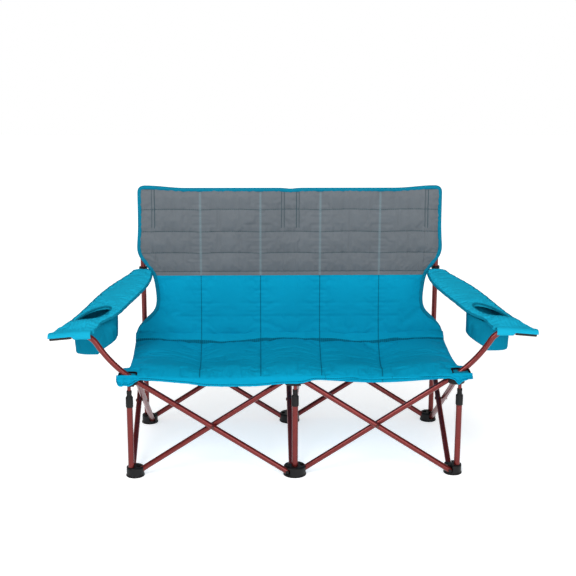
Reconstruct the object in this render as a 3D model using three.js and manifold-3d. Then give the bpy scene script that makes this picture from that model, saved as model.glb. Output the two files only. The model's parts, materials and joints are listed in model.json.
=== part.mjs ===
// Folding camping loveseat for two: crossed steel tubes in two bays, a quilted seat and back,
// and two padded armrests with cup pockets. Millimetres, +Z up, +Y towards the back.
// The origin is on the floor, under the axis of the front centre post.
import * as THREE from 'three';
import { mergeVertices } from 'three/addons/utils/BufferGeometryUtils.js';
import Module from 'manifold-3d';

const wasm = await Module();
wasm.setup();

// Clearances and overruns
const fitGap = 0.3;            // between pieces that are fixed to each other
const runGap = 0.5;            // between pieces that turn or slide on each other
const clothGap = 2;            // between cloth and the hard parts next to it
const overrun = 40;            // how far a cutting tool runs past the piece it cuts
const weldTolerance = 0.0001;

// Tubes
const crossRadius = 8;         // tubes of the scissor crosses and the arms
const crossWall = 1.2;
const plugLength = 14;         // closed end of a cross tube, past its pivot hole
const frontPostRadius = 8.5;
const innerTubeRadius = 5;
const rearPostRadius = 8;
const postWall = 1.2;
const pinRadius = 3;
const pinHeadRadius = 5;
const pinHeadThickness = 2;
const pinHeadGap = 0.6;
const layerGap = 1;            // between the two tubes of a cross

// Plan of the frame
const postSpacing = 460;       // post to post, across and front to back
const pivotClearance = 5.5;    // a folded cross tube, beside the post
const sidePlaneInset = 10;     // plane of an outer side cross, inboard of its post
const footCentreShift = 8;     // centre of an outer foot, inboard of its post
const centreFootShift = 5;
const footRimMargin = 2.5;     // body of a foot, past its farthest pivot
const centreFootMargin = 9;

// Heights
const footFloor = 5.5;
const footHeight = 28;
const footFlangeHeight = 6;
const footFlangeWidth = 1.5;
const footEdge = 2;
const hubPivotHeight = 282;
const hubDepthBelow = 14;
const hubDepthAbove = 10;
const socketDepth = 10;
const foldAngle = THREE.MathUtils.degToRad(50);

// Telescopic front legs
const collarBelowHub = 29;     // top of a collar, below the hub pivots
const collarNeckHeight = 16;
const collarLength = 48;
const collarWall = 1.5;
const collarNeckWall = 1.8;
const collarStep = 3;
const collarSeat = 8;          // post top, below the collar's shoulder

// Rear posts
const rearPostTop = 736;
const postCapHeight = 4;
const postCapPlug = 16;

// Arm tubes: they rise from the hub pivot to a corner and end level
const armCornerOut = 121;
const armCornerUp = 133;
const armCornerSlope = THREE.MathUtils.degToRad(58);
const armTipOut = 222;
const armBendLength = 30;
const armCapLength = 10;       // past the tube's end
const armCapCover = 48;        // along the outside of the tube
const armCapWall = 1.2;

// Seat cloth
const seatOverhang = 29;       // corner of the seat, outboard of its post
const padThin = 12;            // pad pressed between a hub and a sitter
const padFull = 17;
const padCrown = 8;
const seatFoldDepth = 212;     // fold line across the seat, behind the front posts
const seatBaySag = 22;
const seatCentreSag = 12;
const seatEdgeDroop = 2;
const seatRearDrop = 6;
const baySagEndShare = 0.25;   // sag of a bay at the front and rear ends, of its full sag
const bandThickness = 4;
const bandDropCentre = 30;
const bandDropCorner = 14;
const bandBulgeShare = 0.6;
const bandSweepPower = 1.4;
const slotInner = 22;          // ends of the slot for an arm tube, beside its post
const slotOuter = 24;
const slotRear = 10;           // rear edge of the slot, behind the middle of the post
const columnCount = 5;
const puffPower = 2.4;         // how soon the quilting swells beside a seam

// Back cloth
const backTop = 758;
const greyDepth = 273;         // grey upper part, from the top edge
const greyRowCount = 4;
const backThickness = 14;
const backCrown = 7;
const backLean = 10;           // lower edge of the back, ahead of its top
const backCornerRadius = 20;
const backTopOverhang = 2;     // sides of the back, outboard of the posts
const backWideOverhang = 14;
const backWaistInset = 42;     // sides of the waist, inboard of the posts
const backNotchInset = 32;
const backBaseOverhang = 25;
const backWaistShare = 0.3;    // waist below the grey part, of the grey part's depth
const backWideShare = 0.3;     // widest place above the grey part's lower edge
const backNotchShare = 0.04;
const sleeveDepth = 125;
const sleeveWall = 2.5;

// Armrests
const armrestOverhang = 14;    // outer corner, past the end of the arm tube
const armrestThickness = 12;
const armrestCrown = 3;
const armrestLift = 4;         // middle of the pad, above the arm tube's axis
const armrestRiseShare = 0.175;
const armrestLoopHeight = 30;
const armrestSleeveWall = 3;
const armrestEdgeShare = 0.12; // roundness of the pad's long edges
const cupCentreShare = 0.837;  // out from the middle of the seat, of the armrest's reach
const cupCentreBack = 146;     // behind the arm tube
const cupRadius = 44;
const pocketRadius = 56;
const pocketDepth = 92;
const pocketBaseShare = 0.76;
const pocketWall = 2.4;

// Derived plan sizes
const layerOffset = crossRadius + layerGap / 2;
const pivotInset = frontPostRadius + crossRadius + pivotClearance;
const pivotSpan = postSpacing - 2 * pivotInset;
const footPivotHeight = footFloor + crossRadius + runGap;
const pivotRise = hubPivotHeight - footPivotHeight;
const crossLength = Math.hypot(pivotSpan, pivotRise);
const restAngle = Math.atan2(pivotRise, pivotSpan);
const outerFootRadius = pivotInset + footRimMargin;
const centreFootRadius = pivotInset + centreFootMargin;
const hubTop = hubPivotHeight + hubDepthAbove;
const collarTop = hubPivotHeight - collarBelowHub;
const collarShoulder = collarTop - collarNeckHeight;
const collarBottom = collarTop - collarLength;
const seatTop = hubTop + clothGap + padThin;
const clearHalf = crossRadius + runGap;
const armTipX = postSpacing - pivotInset + armTipOut;
const armrestReach = armTipX + armrestOverhang;
const armCapRadius = crossRadius + fitGap + armCapWall;
const seatHalfWidth = postSpacing + seatOverhang;

// Facets and grid steps
const crossSides = 10;
const pinSides = 8;
const postSides = 14;
const moldSides = 18;
const riseSteps = 6;
const bendSteps = 4;
const stepsPerColumn = 4;
const seatSteps = 7;
const bandSteps = 4;
const backBlueSteps = 6;
const stepsPerRow = 2;
const armrestSteps = 16;
const armrestSideSteps = 6;

// Colours
const finishes = {
  redTube: new THREE.MeshStandardMaterial({ color: 0x7d2f2b, roughness: 0.38, metalness: 0.6 }),
  blackPlastic: new THREE.MeshStandardMaterial({ color: 0x121213, roughness: 0.55, metalness: 0 }),
  rivetSteel: new THREE.MeshStandardMaterial({ color: 0x8d8a88, roughness: 0.4, metalness: 0.9 }),
  blueCloth: new THREE.MeshStandardMaterial({ color: 0x0a8fb8, roughness: 0.85, metalness: 0 }),
  greyCloth: new THREE.MeshStandardMaterial({ color: 0x6e757c, roughness: 0.9, metalness: 0 }),
};

const axisX = new THREE.Vector3(1, 0, 0);
const axisY = new THREE.Vector3(0, 1, 0);
const axisZ = new THREE.Vector3(0, 0, 1);
const point = (x, y, z) => new THREE.Vector3(x, y, z);

// A closed geometry becomes a solid whose faces point out.
function solidFrom(geometry) {
  const bare = geometry.clone();
  bare.deleteAttribute('normal');
  bare.deleteAttribute('uv');
  const merged = mergeVertices(bare, weldTolerance);
  const place = merged.attributes.position.array;
  const corners = [];
  let volume = 0;
  for (let i = 0; i < merged.index.count; i += 3) {
    const [a, b, c] = [0, 1, 2].map((k) => merged.index.array[i + k]);
    if (a === b || b === c || c === a) continue;
    corners.push(a, b, c);
    const [p, q, r] = [a, b, c].map((k) => new THREE.Vector3().fromArray(place, 3 * k));
    volume += p.dot(q.cross(r));
  }
  if (volume < 0) corners.reverse();
  return new wasm.Manifold(new wasm.Mesh({
    numProp: 3,
    vertProperties: Float32Array.from(place),
    triVerts: Uint32Array.from(corners),
  }));
}

// A solid goes back into a three.js geometry.
function geometryFrom(solid) {
  const mesh = solid.getMesh();
  const geometry = new THREE.BufferGeometry();
  geometry.setAttribute('position', new THREE.BufferAttribute(mesh.vertProperties, 3));
  geometry.setIndex(new THREE.BufferAttribute(mesh.triVerts, 1));
  geometry.computeVertexNormals();
  return geometry;
}

// A profile of [radius, height] turned about Z. It starts and ends on the axis or closes.
function turned(profile, sides) {
  const points = profile.map(([radius, height]) => new THREE.Vector2(radius, height));
  return new THREE.LatheGeometry(points, sides).rotateX(Math.PI / 2);
}

// A ring profile turned about Z: the list is closed on itself.
function turnedRing(profile, sides) {
  return turned([...profile, profile[0]], sides);
}

// Lays a geometry that runs along Z from zero onto the line from start towards end.
function laidAlong(geometry, start, end) {
  const direction = end.clone().sub(start).normalize();
  const turn = new THREE.Quaternion().setFromUnitVectors(axisZ, direction);
  return geometry.applyQuaternion(turn).translate(start.x, start.y, start.z);
}

function rodSolid(radius, start, end, sides) {
  const length = start.distanceTo(end);
  const rod = turned([[0, 0], [radius, 0], [radius, length], [0, length]], sides);
  return solidFrom(laidAlong(rod, start, end));
}

// A pin with a flat head at both ends, centred on a place and lying along an axis.
function pinSolid(centre, axis, halfGrip) {
  const face = halfGrip + pinHeadGap;
  const end = face + pinHeadThickness;
  const half = [[0, end], [pinHeadRadius, end], [pinHeadRadius, face], [pinRadius, face]];
  const other = half.map(([radius, height]) => [radius, -height]).reverse();
  const start = centre.clone();
  return solidFrom(laidAlong(turned([...half, ...other], pinSides), start, start.clone().add(axis)));
}

function holeSolid(centre, axis) {
  const reach = axis.clone().multiplyScalar(crossRadius + overrun);
  return rodSolid(pinRadius + fitGap, centre.clone().sub(reach), centre.clone().add(reach), pinSides);
}

// The space that a tube sweeps as it turns about a pivot, from one angle to another.
// The fan is drawn in a plane of its own and is as thick as the tube with its clearance.
function sweptFan(fromAngle, toAngle, reach, thickness) {
  const low = Math.min(fromAngle, toAngle);
  const high = Math.max(fromAngle, toAngle);
  const at = (along, side, angle) => [
    along * Math.cos(angle) - side * Math.sin(angle),
    along * Math.sin(angle) + side * Math.cos(angle),
  ];
  const shape = new THREE.Shape();
  shape.moveTo(...at(reach, -clearHalf, low));
  shape.lineTo(...at(reach, clearHalf, high));
  shape.lineTo(...at(0, clearHalf, high));
  shape.absarc(0, 0, clearHalf, high + Math.PI / 2, low + 1.5 * Math.PI, false);
  shape.closePath();
  const fan = new THREE.ExtrudeGeometry(shape, { depth: thickness, bevelEnabled: false, curveSegments: 3 });
  return fan.translate(0, 0, -thickness / 2);
}

// Stations chosen along a smooth path, so that straight stretches stay plain.
class StationPath extends THREE.Curve {
  constructor(stations) {
    super();
    this.stations = stations;
  }

  getPointAt(share) {
    const last = this.stations.length - 1;
    return this.stations[Math.round(share * last)].clone();
  }

  getTangentAt(share) {
    const last = this.stations.length - 1;
    const here = Math.round(share * last);
    const before = this.stations[Math.max(here - 1, 0)];
    const after = this.stations[Math.min(here + 1, last)];
    return after.clone().sub(before).normalize();
  }
}

function sweptTube(stations, radius, sides) {
  const section = new THREE.Shape().absarc(0, 0, radius, 0, 2 * Math.PI);
  return new THREE.ExtrudeGeometry(section, {
    steps: stations.length - 1,
    curveSegments: sides / 2,
    extrudePath: new StationPath(stations),
  });
}

// A closed form between two surfaces that share one grid.
function slab(columns, rows, upper, lower) {
  const place = [];
  const corners = [];
  const layer = (columns + 1) * (rows + 1);
  for (const surface of [upper, lower]) {
    for (let j = 0; j <= rows; j += 1) {
      for (let i = 0; i <= columns; i += 1) {
        place.push(...surface(i / columns, j / rows).toArray());
      }
    }
  }
  const at = (i, j, side) => side * layer + j * (columns + 1) + i;
  const quad = (a, b, c, d) => corners.push(a, b, c, a, c, d);
  for (let j = 0; j < rows; j += 1) {
    for (let i = 0; i < columns; i += 1) {
      quad(at(i, j, 0), at(i + 1, j, 0), at(i + 1, j + 1, 0), at(i, j + 1, 0));
      quad(at(i, j + 1, 1), at(i + 1, j + 1, 1), at(i + 1, j, 1), at(i, j, 1));
    }
  }
  for (let i = 0; i < columns; i += 1) {
    quad(at(i, 0, 1), at(i + 1, 0, 1), at(i + 1, 0, 0), at(i, 0, 0));
    quad(at(i, rows, 0), at(i + 1, rows, 0), at(i + 1, rows, 1), at(i, rows, 1));
  }
  for (let j = 0; j < rows; j += 1) {
    quad(at(0, j, 0), at(0, j + 1, 0), at(0, j + 1, 1), at(0, j, 1));
    quad(at(columns, j, 1), at(columns, j + 1, 1), at(columns, j + 1, 0), at(columns, j, 0));
  }
  const geometry = new THREE.BufferGeometry();
  geometry.setAttribute('position', new THREE.Float32BufferAttribute(place, 3));
  geometry.setIndex(corners);
  return geometry;
}

const loveseat = new THREE.Group();

function addPart(name, form, finish) {
  const geometry = form.isBufferGeometry ? geometryFrom(solidFrom(form)) : geometryFrom(form);
  const mesh = new THREE.Mesh(geometry, finish);
  mesh.name = name;
  loveseat.add(mesh);
}

// The six corners: side -1, 0 or 1 from left to right, row 0 in front and 1 at the back.
const sideNames = { '-1': 'left', 0: 'centre', 1: 'right' };
const rowNames = ['front', 'rear'];
const postX = (side) => side * postSpacing;
const postY = (row) => row * postSpacing;
const inwardX = (side) => -side;
const inwardY = (row) => (row === 0 ? 1 : -1);
const sidePlaneX = (side) => postX(side) + inwardX(side) * sidePlaneInset;

// A falling tube runs from upper left to lower right, in the front layer of its row.
// A rising tube runs the other way, in the rear layer.
const fallingY = (row) => postY(row) - layerOffset;
const risingY = (row) => postY(row) + layerOffset;

// Cross tubes of a row: each has a foot end, a hub end and a name.
function rowTubes(row) {
  const inset = pivotInset;
  const span = (side, toward) => postX(side) + toward * inset;
  const falls = (name, hubX, footX) => ({
    name, foot: point(footX, fallingY(row), footPivotHeight), hub: point(hubX, fallingY(row), hubPivotHeight),
  });
  const rises = (name, hubX, footX) => ({
    name, foot: point(footX, risingY(row), footPivotHeight), hub: point(hubX, risingY(row), hubPivotHeight),
  });
  return {
    leftFalling: falls(`${rowNames[row]}_cross_left_falling`, span(-1, 1), span(0, -1)),
    leftRising: rises(`${rowNames[row]}_cross_left_rising`, span(0, -1), span(-1, 1)),
    rightRising: rises(`${rowNames[row]}_cross_right_rising`, span(1, -1), span(0, 1)),
    rightFalling: falls(`${rowNames[row]}_cross_right_falling`, span(0, 1), span(1, -1)),
  };
}

// Cross tubes between a front and a rear post: the first climbs to the back.
function sideTubes(side) {
  const nearY = postY(0) + pivotInset;
  const farY = postY(1) - pivotInset;
  const climbX = sidePlaneX(side) - layerOffset;
  const dropX = sidePlaneX(side) + layerOffset;
  return {
    climbing: {
      name: `side_cross_${sideNames[side]}_climbing`,
      foot: point(climbX, nearY, footPivotHeight),
      hub: point(climbX, farY, hubPivotHeight),
    },
    dropping: {
      name: `side_cross_${sideNames[side]}_dropping`,
      foot: point(dropX, farY, footPivotHeight),
      hub: point(dropX, nearY, hubPivotHeight),
    },
  };
}

const rows = [0, 1].map(rowTubes);
const sides = [-1, 0, 1];
const sideCrosses = Object.fromEntries(sides.map((side) => [side, sideTubes(side)]));
const middle = (tube) => tube.foot.clone().add(tube.hub).multiplyScalar(0.5);

// A straight cross tube: round closed ends, a hollow middle and three pin holes.
function crossTube(tube, pinAxis) {
  const quarter = Math.PI / 2;
  const endSteps = 2;
  const arc = (centre, from) => Array.from({ length: endSteps + 1 }, (_, k) => {
    const angle = from + (quarter * k) / endSteps;
    return [crossRadius * Math.cos(angle), centre + crossRadius * Math.sin(angle)];
  });
  const profile = [...arc(0, -quarter), ...arc(crossLength, 0)];
  profile[0][0] = 0;
  profile[profile.length - 1][0] = 0;
  const outer = solidFrom(laidAlong(turned(profile, crossSides), tube.foot, tube.hub));
  const along = tube.hub.clone().sub(tube.foot).normalize();
  const bore = rodSolid(
    crossRadius - crossWall,
    tube.foot.clone().addScaledVector(along, plugLength),
    tube.hub.clone().addScaledVector(along, -plugLength),
    pinSides,
  );
  return [tube.foot, tube.hub, middle(tube)].reduce(
    (solid, centre) => solid.subtract(holeSolid(centre, pinAxis)),
    outer.subtract(bore),
  );
}

// Path of an arm tube: straight from its foot past its hub, then up and out to the tip.
function armStations(tube, out) {
  const at = (outward, up) => point(tube.hub.x + out * outward, tube.hub.y, tube.hub.z + up);
  const low = Math.tan(restAngle);
  const steep = Math.tan(armCornerSlope);
  const meetOut = (steep * armCornerOut - armCornerUp) / (steep - low);
  const corner = at(armCornerOut, armCornerUp);
  const beforeBend = at(
    armCornerOut - armBendLength * Math.cos(armCornerSlope),
    armCornerUp - armBendLength * Math.sin(armCornerSlope),
  );
  const afterBend = at(armCornerOut + armBendLength, armCornerUp);
  const rise = new THREE.QuadraticBezierCurve3(tube.hub, at(meetOut, meetOut * low), beforeBend);
  const bend = new THREE.QuadraticBezierCurve3(beforeBend, corner, afterBend);
  return [
    tube.foot,
    ...rise.getPoints(riseSteps),
    ...bend.getPoints(bendSteps).slice(1),
    at(armTipOut, armCornerUp),
  ];
}

function armTube(tube, out) {
  const stations = armStations(tube, out);
  const outer = solidFrom(sweptTube(stations, crossRadius, crossSides));
  const end = solidFrom(new THREE.SphereGeometry(crossRadius - fitGap / 2, crossSides, crossSides / 2)
    .translate(tube.foot.x, tube.foot.y, tube.foot.z));
  const along = stations[1].clone().sub(stations[0]).normalize();
  const hollow = stations.slice(1);
  hollow.unshift(stations[0].clone().addScaledVector(along, plugLength));
  hollow.push(stations[stations.length - 1].clone().add(point(out * overrun, 0, 0)));
  const bore = solidFrom(sweptTube(hollow, crossRadius - crossWall, pinSides));
  return [tube.foot, tube.hub, middle(tube)].reduce(
    (solid, centre) => solid.subtract(holeSolid(centre, axisY)),
    outer.add(end).subtract(bore),
  );
}

const armTubes = { '-1': rows[0].leftFalling, 1: rows[0].rightRising };
armTubes['-1'].name = 'arm_tube_left';
armTubes[1].name = 'arm_tube_right';

for (const side of [-1, 1]) {
  addPart(armTubes[side].name, armTube(armTubes[side], side), finishes.redTube);
}
addPart(rows[0].leftRising.name, crossTube(rows[0].leftRising, axisY), finishes.redTube);
addPart(rows[0].rightFalling.name, crossTube(rows[0].rightFalling, axisY), finishes.redTube);
for (const tube of Object.values(rows[1])) {
  addPart(tube.name, crossTube(tube, axisY), finishes.redTube);
}
for (const side of sides) {
  for (const tube of Object.values(sideCrosses[side])) {
    addPart(tube.name, crossTube(tube, axisX), finishes.redTube);
  }
}

// Rivets where the two tubes of a cross pass each other
const crossGrip = 2 * crossRadius + layerGap / 2;
for (const row of [0, 1]) {
  for (const [bay, tube] of [['left', rows[row].leftRising], ['right', rows[row].rightRising]]) {
    const centre = middle(tube);
    centre.y = postY(row);
    addPart(`${rowNames[row]}_cross_rivet_${bay}`, pinSolid(centre, axisY, crossGrip), finishes.rivetSteel);
  }
}
for (const side of sides) {
  const centre = middle(sideCrosses[side].climbing);
  centre.x = sidePlaneX(side);
  addPart(`side_cross_rivet_${sideNames[side]}`, pinSolid(centre, axisX, crossGrip), finishes.rivetSteel);
}

// Pivots in the foot or the hub of a corner. A tube's fan opens away from that end.
function cornerPivots(side, row, level) {
  const pivots = [];
  const frontRow = row === 0;
  const add = (tube, through) => {
    const centre = tube[level];
    const other = level === 'foot' ? tube.hub : tube.foot;
    const inRow = Math.abs(other.y - centre.y) < crossRadius;
    const run = inRow ? other.x - centre.x : other.y - centre.y;
    const rest = Math.atan2(other.z - centre.z, run);
    const turnSign = Math.sign(run) * Math.sign(other.z - centre.z);
    pivots.push({ centre, inRow, rest, folded: rest + turnSign * foldAngle, through });
  };
  const rowSet = rows[row];
  const hubLevel = level === 'hub';
  if (side === -1) add(hubLevel ? rowSet.leftFalling : rowSet.leftRising, hubLevel && frontRow);
  if (side === 1) add(hubLevel ? rowSet.rightRising : rowSet.rightFalling, hubLevel && frontRow);
  if (side === 0) {
    add(hubLevel ? rowSet.leftRising : rowSet.leftFalling, false);
    add(hubLevel ? rowSet.rightFalling : rowSet.rightRising, false);
  }
  const cross = sideCrosses[side];
  add(hubLevel === frontRow ? cross.dropping : cross.climbing, false);
  return pivots;
}

// Turns a fan from its own plane into the plane that its tube moves in.
function placedFan(pivot, fromAngle, toAngle) {
  const fan = sweptFan(fromAngle, toAngle, crossRadius + overrun, 2 * clearHalf);
  if (pivot.inRow) fan.rotateX(Math.PI / 2);
  else fan.rotateX(Math.PI / 2).rotateZ(Math.PI / 2);
  return solidFrom(fan.translate(pivot.centre.x, pivot.centre.y, pivot.centre.z));
}

// Cuts the tubes' free spaces out of a moulding and puts the pivot pins back in.
function withPivots(body, side, row, level) {
  const pivots = cornerPivots(side, row, level);
  let solid = body;
  for (const pivot of pivots) {
    solid = solid.subtract(placedFan(pivot, pivot.rest, pivot.folded));
    if (pivot.through) {
      solid = solid.subtract(placedFan(pivot, pivot.rest + Math.PI, pivot.folded + Math.PI));
    }
  }
  for (const pivot of pivots) {
    const openFront = pivot.inRow && row === 0 && pivot.centre.y < postY(row);
    const openRear = pivot.inRow && row === 1 && pivot.centre.y > postY(row);
    if (openFront || openRear) {
      const away = openFront ? -1 : 1;
      const block = new THREE.BoxGeometry(2 * clearHalf, overrun, 2 * clearHalf);
      const shift = pivot.centre.y + away * (overrun / 2 + crossRadius);
      solid = solid.subtract(solidFrom(block.translate(pivot.centre.x, shift, pivot.centre.z)));
    }
  }
  return pivots.reduce(
    (made, pivot) => made.add(pinSolid(pivot.centre, pivot.inRow ? axisY : axisX, crossRadius)),
    solid,
  );
}

function cornerPlan(side, row) {
  const shift = side === 0 ? centreFootShift : footCentreShift;
  return {
    x: side === 0 ? 0 : postX(side) + inwardX(side) * sidePlaneInset,
    y: postY(row) + inwardY(row) * shift,
    radius: side === 0 ? centreFootRadius : outerFootRadius,
  };
}

// Foot: a round moulding with a flange on the floor and a socket for its post.
function foot(side, row) {
  const plan = cornerPlan(side, row);
  const flange = plan.radius + footFlangeWidth;
  const profile = [
    [0, 0], [flange - footEdge / 2, 0], [flange, footEdge / 2], [flange, footFlangeHeight - footEdge],
    [plan.radius, footFlangeHeight], [plan.radius, footHeight - footEdge],
    [plan.radius - footEdge, footHeight], [0, footHeight],
  ];
  const body = solidFrom(turned(profile, moldSides).translate(plan.x, plan.y, 0));
  const radius = row === 0 ? frontPostRadius : rearPostRadius;
  const bottom = point(postX(side), postY(row), footFloor);
  const socket = rodSolid(radius + fitGap, bottom, bottom.clone().setZ(footHeight + overrun), postSides);
  return withPivots(body.subtract(socket), side, row, 'foot');
}

// Hub at the top of a front leg: like a foot turned over, flat where the seat band hangs.
function hubBody(side, row) {
  const plan = cornerPlan(side, row);
  const bottom = hubPivotHeight - hubDepthBelow;
  const profile = [
    [0, bottom], [plan.radius - footEdge, bottom], [plan.radius, bottom + footEdge],
    [plan.radius, hubTop - footEdge], [plan.radius - footEdge, hubTop], [0, hubTop],
  ];
  return solidFrom(turned(profile, moldSides).translate(plan.x, plan.y, 0));
}

function frontHub(side) {
  const plan = cornerPlan(side, 0);
  const faceY = -(layerOffset + crossRadius);
  const block = new THREE.BoxGeometry(2 * plan.radius + overrun, overrun, hubTop);
  const flat = solidFrom(block.translate(plan.x, faceY - overrun / 2, hubPivotHeight));
  const bottom = hubPivotHeight - hubDepthBelow;
  const mouth = point(postX(side), postY(0), bottom - overrun);
  const socketEnd = point(postX(side), postY(0), bottom + socketDepth + fitGap);
  const socket = rodSolid(innerTubeRadius + fitGap, mouth, socketEnd, postSides);
  return withPivots(hubBody(side, 0).subtract(flat).subtract(socket), side, 0, 'hub');
}

// Hub on a rear post: it slides up the post as the seat folds.
function rearHub(side) {
  const low = point(postX(side), postY(1), hubPivotHeight - hubDepthBelow - overrun);
  const high = low.clone().setZ(hubTop + overrun);
  const bore = rodSolid(rearPostRadius + runGap, low, high, postSides);
  return withPivots(hubBody(side, 1).subtract(bore), side, 1, 'hub');
}

function tubeGeometry(radius, wall, bottom, top, side, row) {
  const inner = radius - wall;
  return turnedRing([[inner, bottom], [radius, bottom], [radius, top], [inner, top]], postSides)
    .translate(postX(side), postY(row), 0);
}

function collar(side) {
  const inner = frontPostRadius + fitGap;
  const outer = inner + collarWall;
  const neckBore = innerTubeRadius + runGap;
  const neck = neckBore + collarNeckWall;
  const seat = collarShoulder - collarSeat + fitGap;
  const profile = [
    [inner, collarBottom], [outer, collarBottom], [outer, collarShoulder - collarStep],
    [neck, collarShoulder], [neck, collarTop], [neckBore, collarTop], [neckBore, seat], [inner, seat],
  ];
  return turnedRing(profile, postSides).translate(postX(side), postY(0), 0);
}

function postCap(side) {
  const plug = rearPostRadius - postWall - fitGap;
  const seat = rearPostTop + fitGap;
  const profile = [
    [0, rearPostTop - postCapPlug], [plug, rearPostTop - postCapPlug], [plug, seat],
    [rearPostRadius, seat], [rearPostRadius, seat + postCapHeight / 2],
    [rearPostRadius - footEdge, seat + postCapHeight], [0, seat + postCapHeight],
  ];
  return turned(profile, postSides).translate(postX(side), postY(1), 0);
}

for (const side of sides) {
  const name = sideNames[side];
  addPart(`front_foot_${name}`, foot(side, 0), finishes.blackPlastic);
  addPart(`rear_foot_${name}`, foot(side, 1), finishes.blackPlastic);
  const low = footFloor + fitGap;
  const frontTop = collarShoulder - collarSeat;
  const frontPost = tubeGeometry(frontPostRadius, postWall, low, frontTop, side, 0);
  addPart(`front_post_${name}`, frontPost, finishes.redTube);
  addPart(`front_collar_${name}`, collar(side), finishes.blackPlastic);
  const socketTop = hubPivotHeight - hubDepthBelow + socketDepth;
  const innerTube = tubeGeometry(innerTubeRadius, postWall, low + fitGap, socketTop, side, 0);
  addPart(`front_inner_tube_${name}`, innerTube, finishes.redTube);
  addPart(`front_hub_${name}`, frontHub(side), finishes.blackPlastic);
  const rearPost = tubeGeometry(rearPostRadius, postWall, low, rearPostTop, side, 1);
  addPart(`rear_post_${name}`, rearPost, finishes.redTube);
  addPart(`rear_post_cap_${name}`, postCap(side), finishes.blackPlastic);
  addPart(`rear_hub_${name}`, rearHub(side), finishes.blackPlastic);
}

// Cap on the end of an arm tube: it covers the outside of the tube and closes it.
function armCap(side) {
  const tip = point(side * armTipX, armTubes[side].hub.y, hubPivotHeight + armCornerUp);
  const along = (length) => tip.clone().add(point(side * length, 0, 0));
  const body = rodSolid(armCapRadius, along(-armCapCover), along(armCapLength), postSides);
  const open = along(-armCapCover - overrun);
  return body.subtract(rodSolid(crossRadius + fitGap, open, along(fitGap), postSides));
}
for (const side of [-1, 1]) {
  addPart(`arm_tube_cap_${sideNames[side]}`, armCap(side), finishes.blackPlastic);
}

// Quilting: 0 on a seam and 1 in the middle of its cell
function puff(share, cells) {
  const within = share * cells - Math.floor(share * cells);
  return 1 - Math.abs(2 * within - 1) ** puffPower;
}
const smooth = (share) => share * share * (3 - 2 * share);
const clampShare = (value) => Math.min(Math.max(value, 0), 1);

// Reads a table of rows, each led by its place, along a smooth curve through the rows.
function tableAt(table, place) {
  const last = table.length - 1;
  const found = table.findIndex((row) => row[0] >= place);
  const next = found < 0 ? last : Math.max(found, 1);
  const [before, after] = [table[next - 1], table[next]];
  const run = after[0] - before[0];
  const share = clampShare((place - before[0]) / run);
  const slope = (at, k) => {
    const [low, high] = [table[Math.max(at - 1, 0)], table[Math.min(at + 1, last)]];
    return (high[k] - low[k]) / (high[0] - low[0]);
  };
  const rise = smooth(share);
  const early = share * (1 - share) ** 2;
  const late = share * share * (share - 1);
  return before.slice(1).map((value, i) => THREE.MathUtils.lerp(value, after[i + 1], rise)
    + run * (early * slope(next - 1, i + 1) + late * slope(next, i + 1)));
}

// The arm tubes pass through slots in the cloth, and their tips stay clear of it.
function clearOfArms(solid, gap) {
  return [-1, 1].reduce((made, side) => {
    const stations = armStations(armTubes[side], side);
    stations[stations.length - 1].x += side * overrun;
    return made.subtract(solidFrom(sweptTube(stations, crossRadius + gap, crossSides)));
  }, solid);
}

// Seat surface: it rests on the hubs and sags between them.
const seatFrontEnd = -(layerOffset + crossRadius + pinHeadGap + pinHeadThickness + fitGap);
const hubReach = centreFootShift + centreFootRadius;
const seatRearEnd = postSpacing - hubReach - clothGap;
// Seat plan: place along the depth, then the half width as a share of the front corner's
const seatPlanShares = [
  [0, 1],
  [0.07, 0.995],
  [0.16, 0.955],
  [0.36, 0.956],
  [0.7, 0.972],
  [1, 0.99],
];
function seatHalfWidthAt(y) {
  const share = (y - seatFrontEnd) / (seatRearEnd - seatFrontEnd);
  return seatHalfWidth * tableAt(seatPlanShares, share)[0];
}
function seatBaseAt(x, y) {
  const depthShare = clampShare((y - hubReach) / (seatRearEnd - hubReach));
  const bay = Math.sin((Math.PI * x) / postSpacing) ** 2;
  const belly = Math.sin(Math.PI * depthShare);
  const edge = postSpacing - sidePlaneInset + outerFootRadius;
  const beyond = clampShare((Math.abs(x) - edge) / (seatHalfWidth - edge));
  const bayShare = THREE.MathUtils.lerp(baySagEndShare, 1, belly);
  const sag = seatBaySag * bay * bayShare + seatCentreSag * belly;
  return seatTop - sag - seatRearDrop * depthShare - seatEdgeDroop * beyond * beyond;
}
function padThicknessAt(x) {
  return padThin + (padFull - padThin) * Math.sin((Math.PI * x) / postSpacing) ** 2;
}

// One half of the seat pad, quilted in columns, from one depth to another
function seatHalf(fromY, toY) {
  const lane = (u, v) => {
    const y = THREE.MathUtils.lerp(fromY, toY, v);
    return [(2 * u - 1) * seatHalfWidthAt(y), y];
  };
  const upper = (u, v) => {
    const [x, y] = lane(u, v);
    const depthShare = clampShare((y - seatFrontEnd) / (seatRearEnd - seatFrontEnd));
    const rounded = Math.sqrt(Math.sin(Math.PI * depthShare));
    return point(x, y, seatBaseAt(x, y) + padCrown * puff(u, columnCount) * rounded);
  };
  const lower = (u, v) => {
    const [x, y] = lane(u, v);
    return point(x, y, seatBaseAt(x, y) - padThicknessAt(x));
  };
  return solidFrom(slab(stepsPerColumn * columnCount, seatSteps, upper, lower));
}

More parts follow.
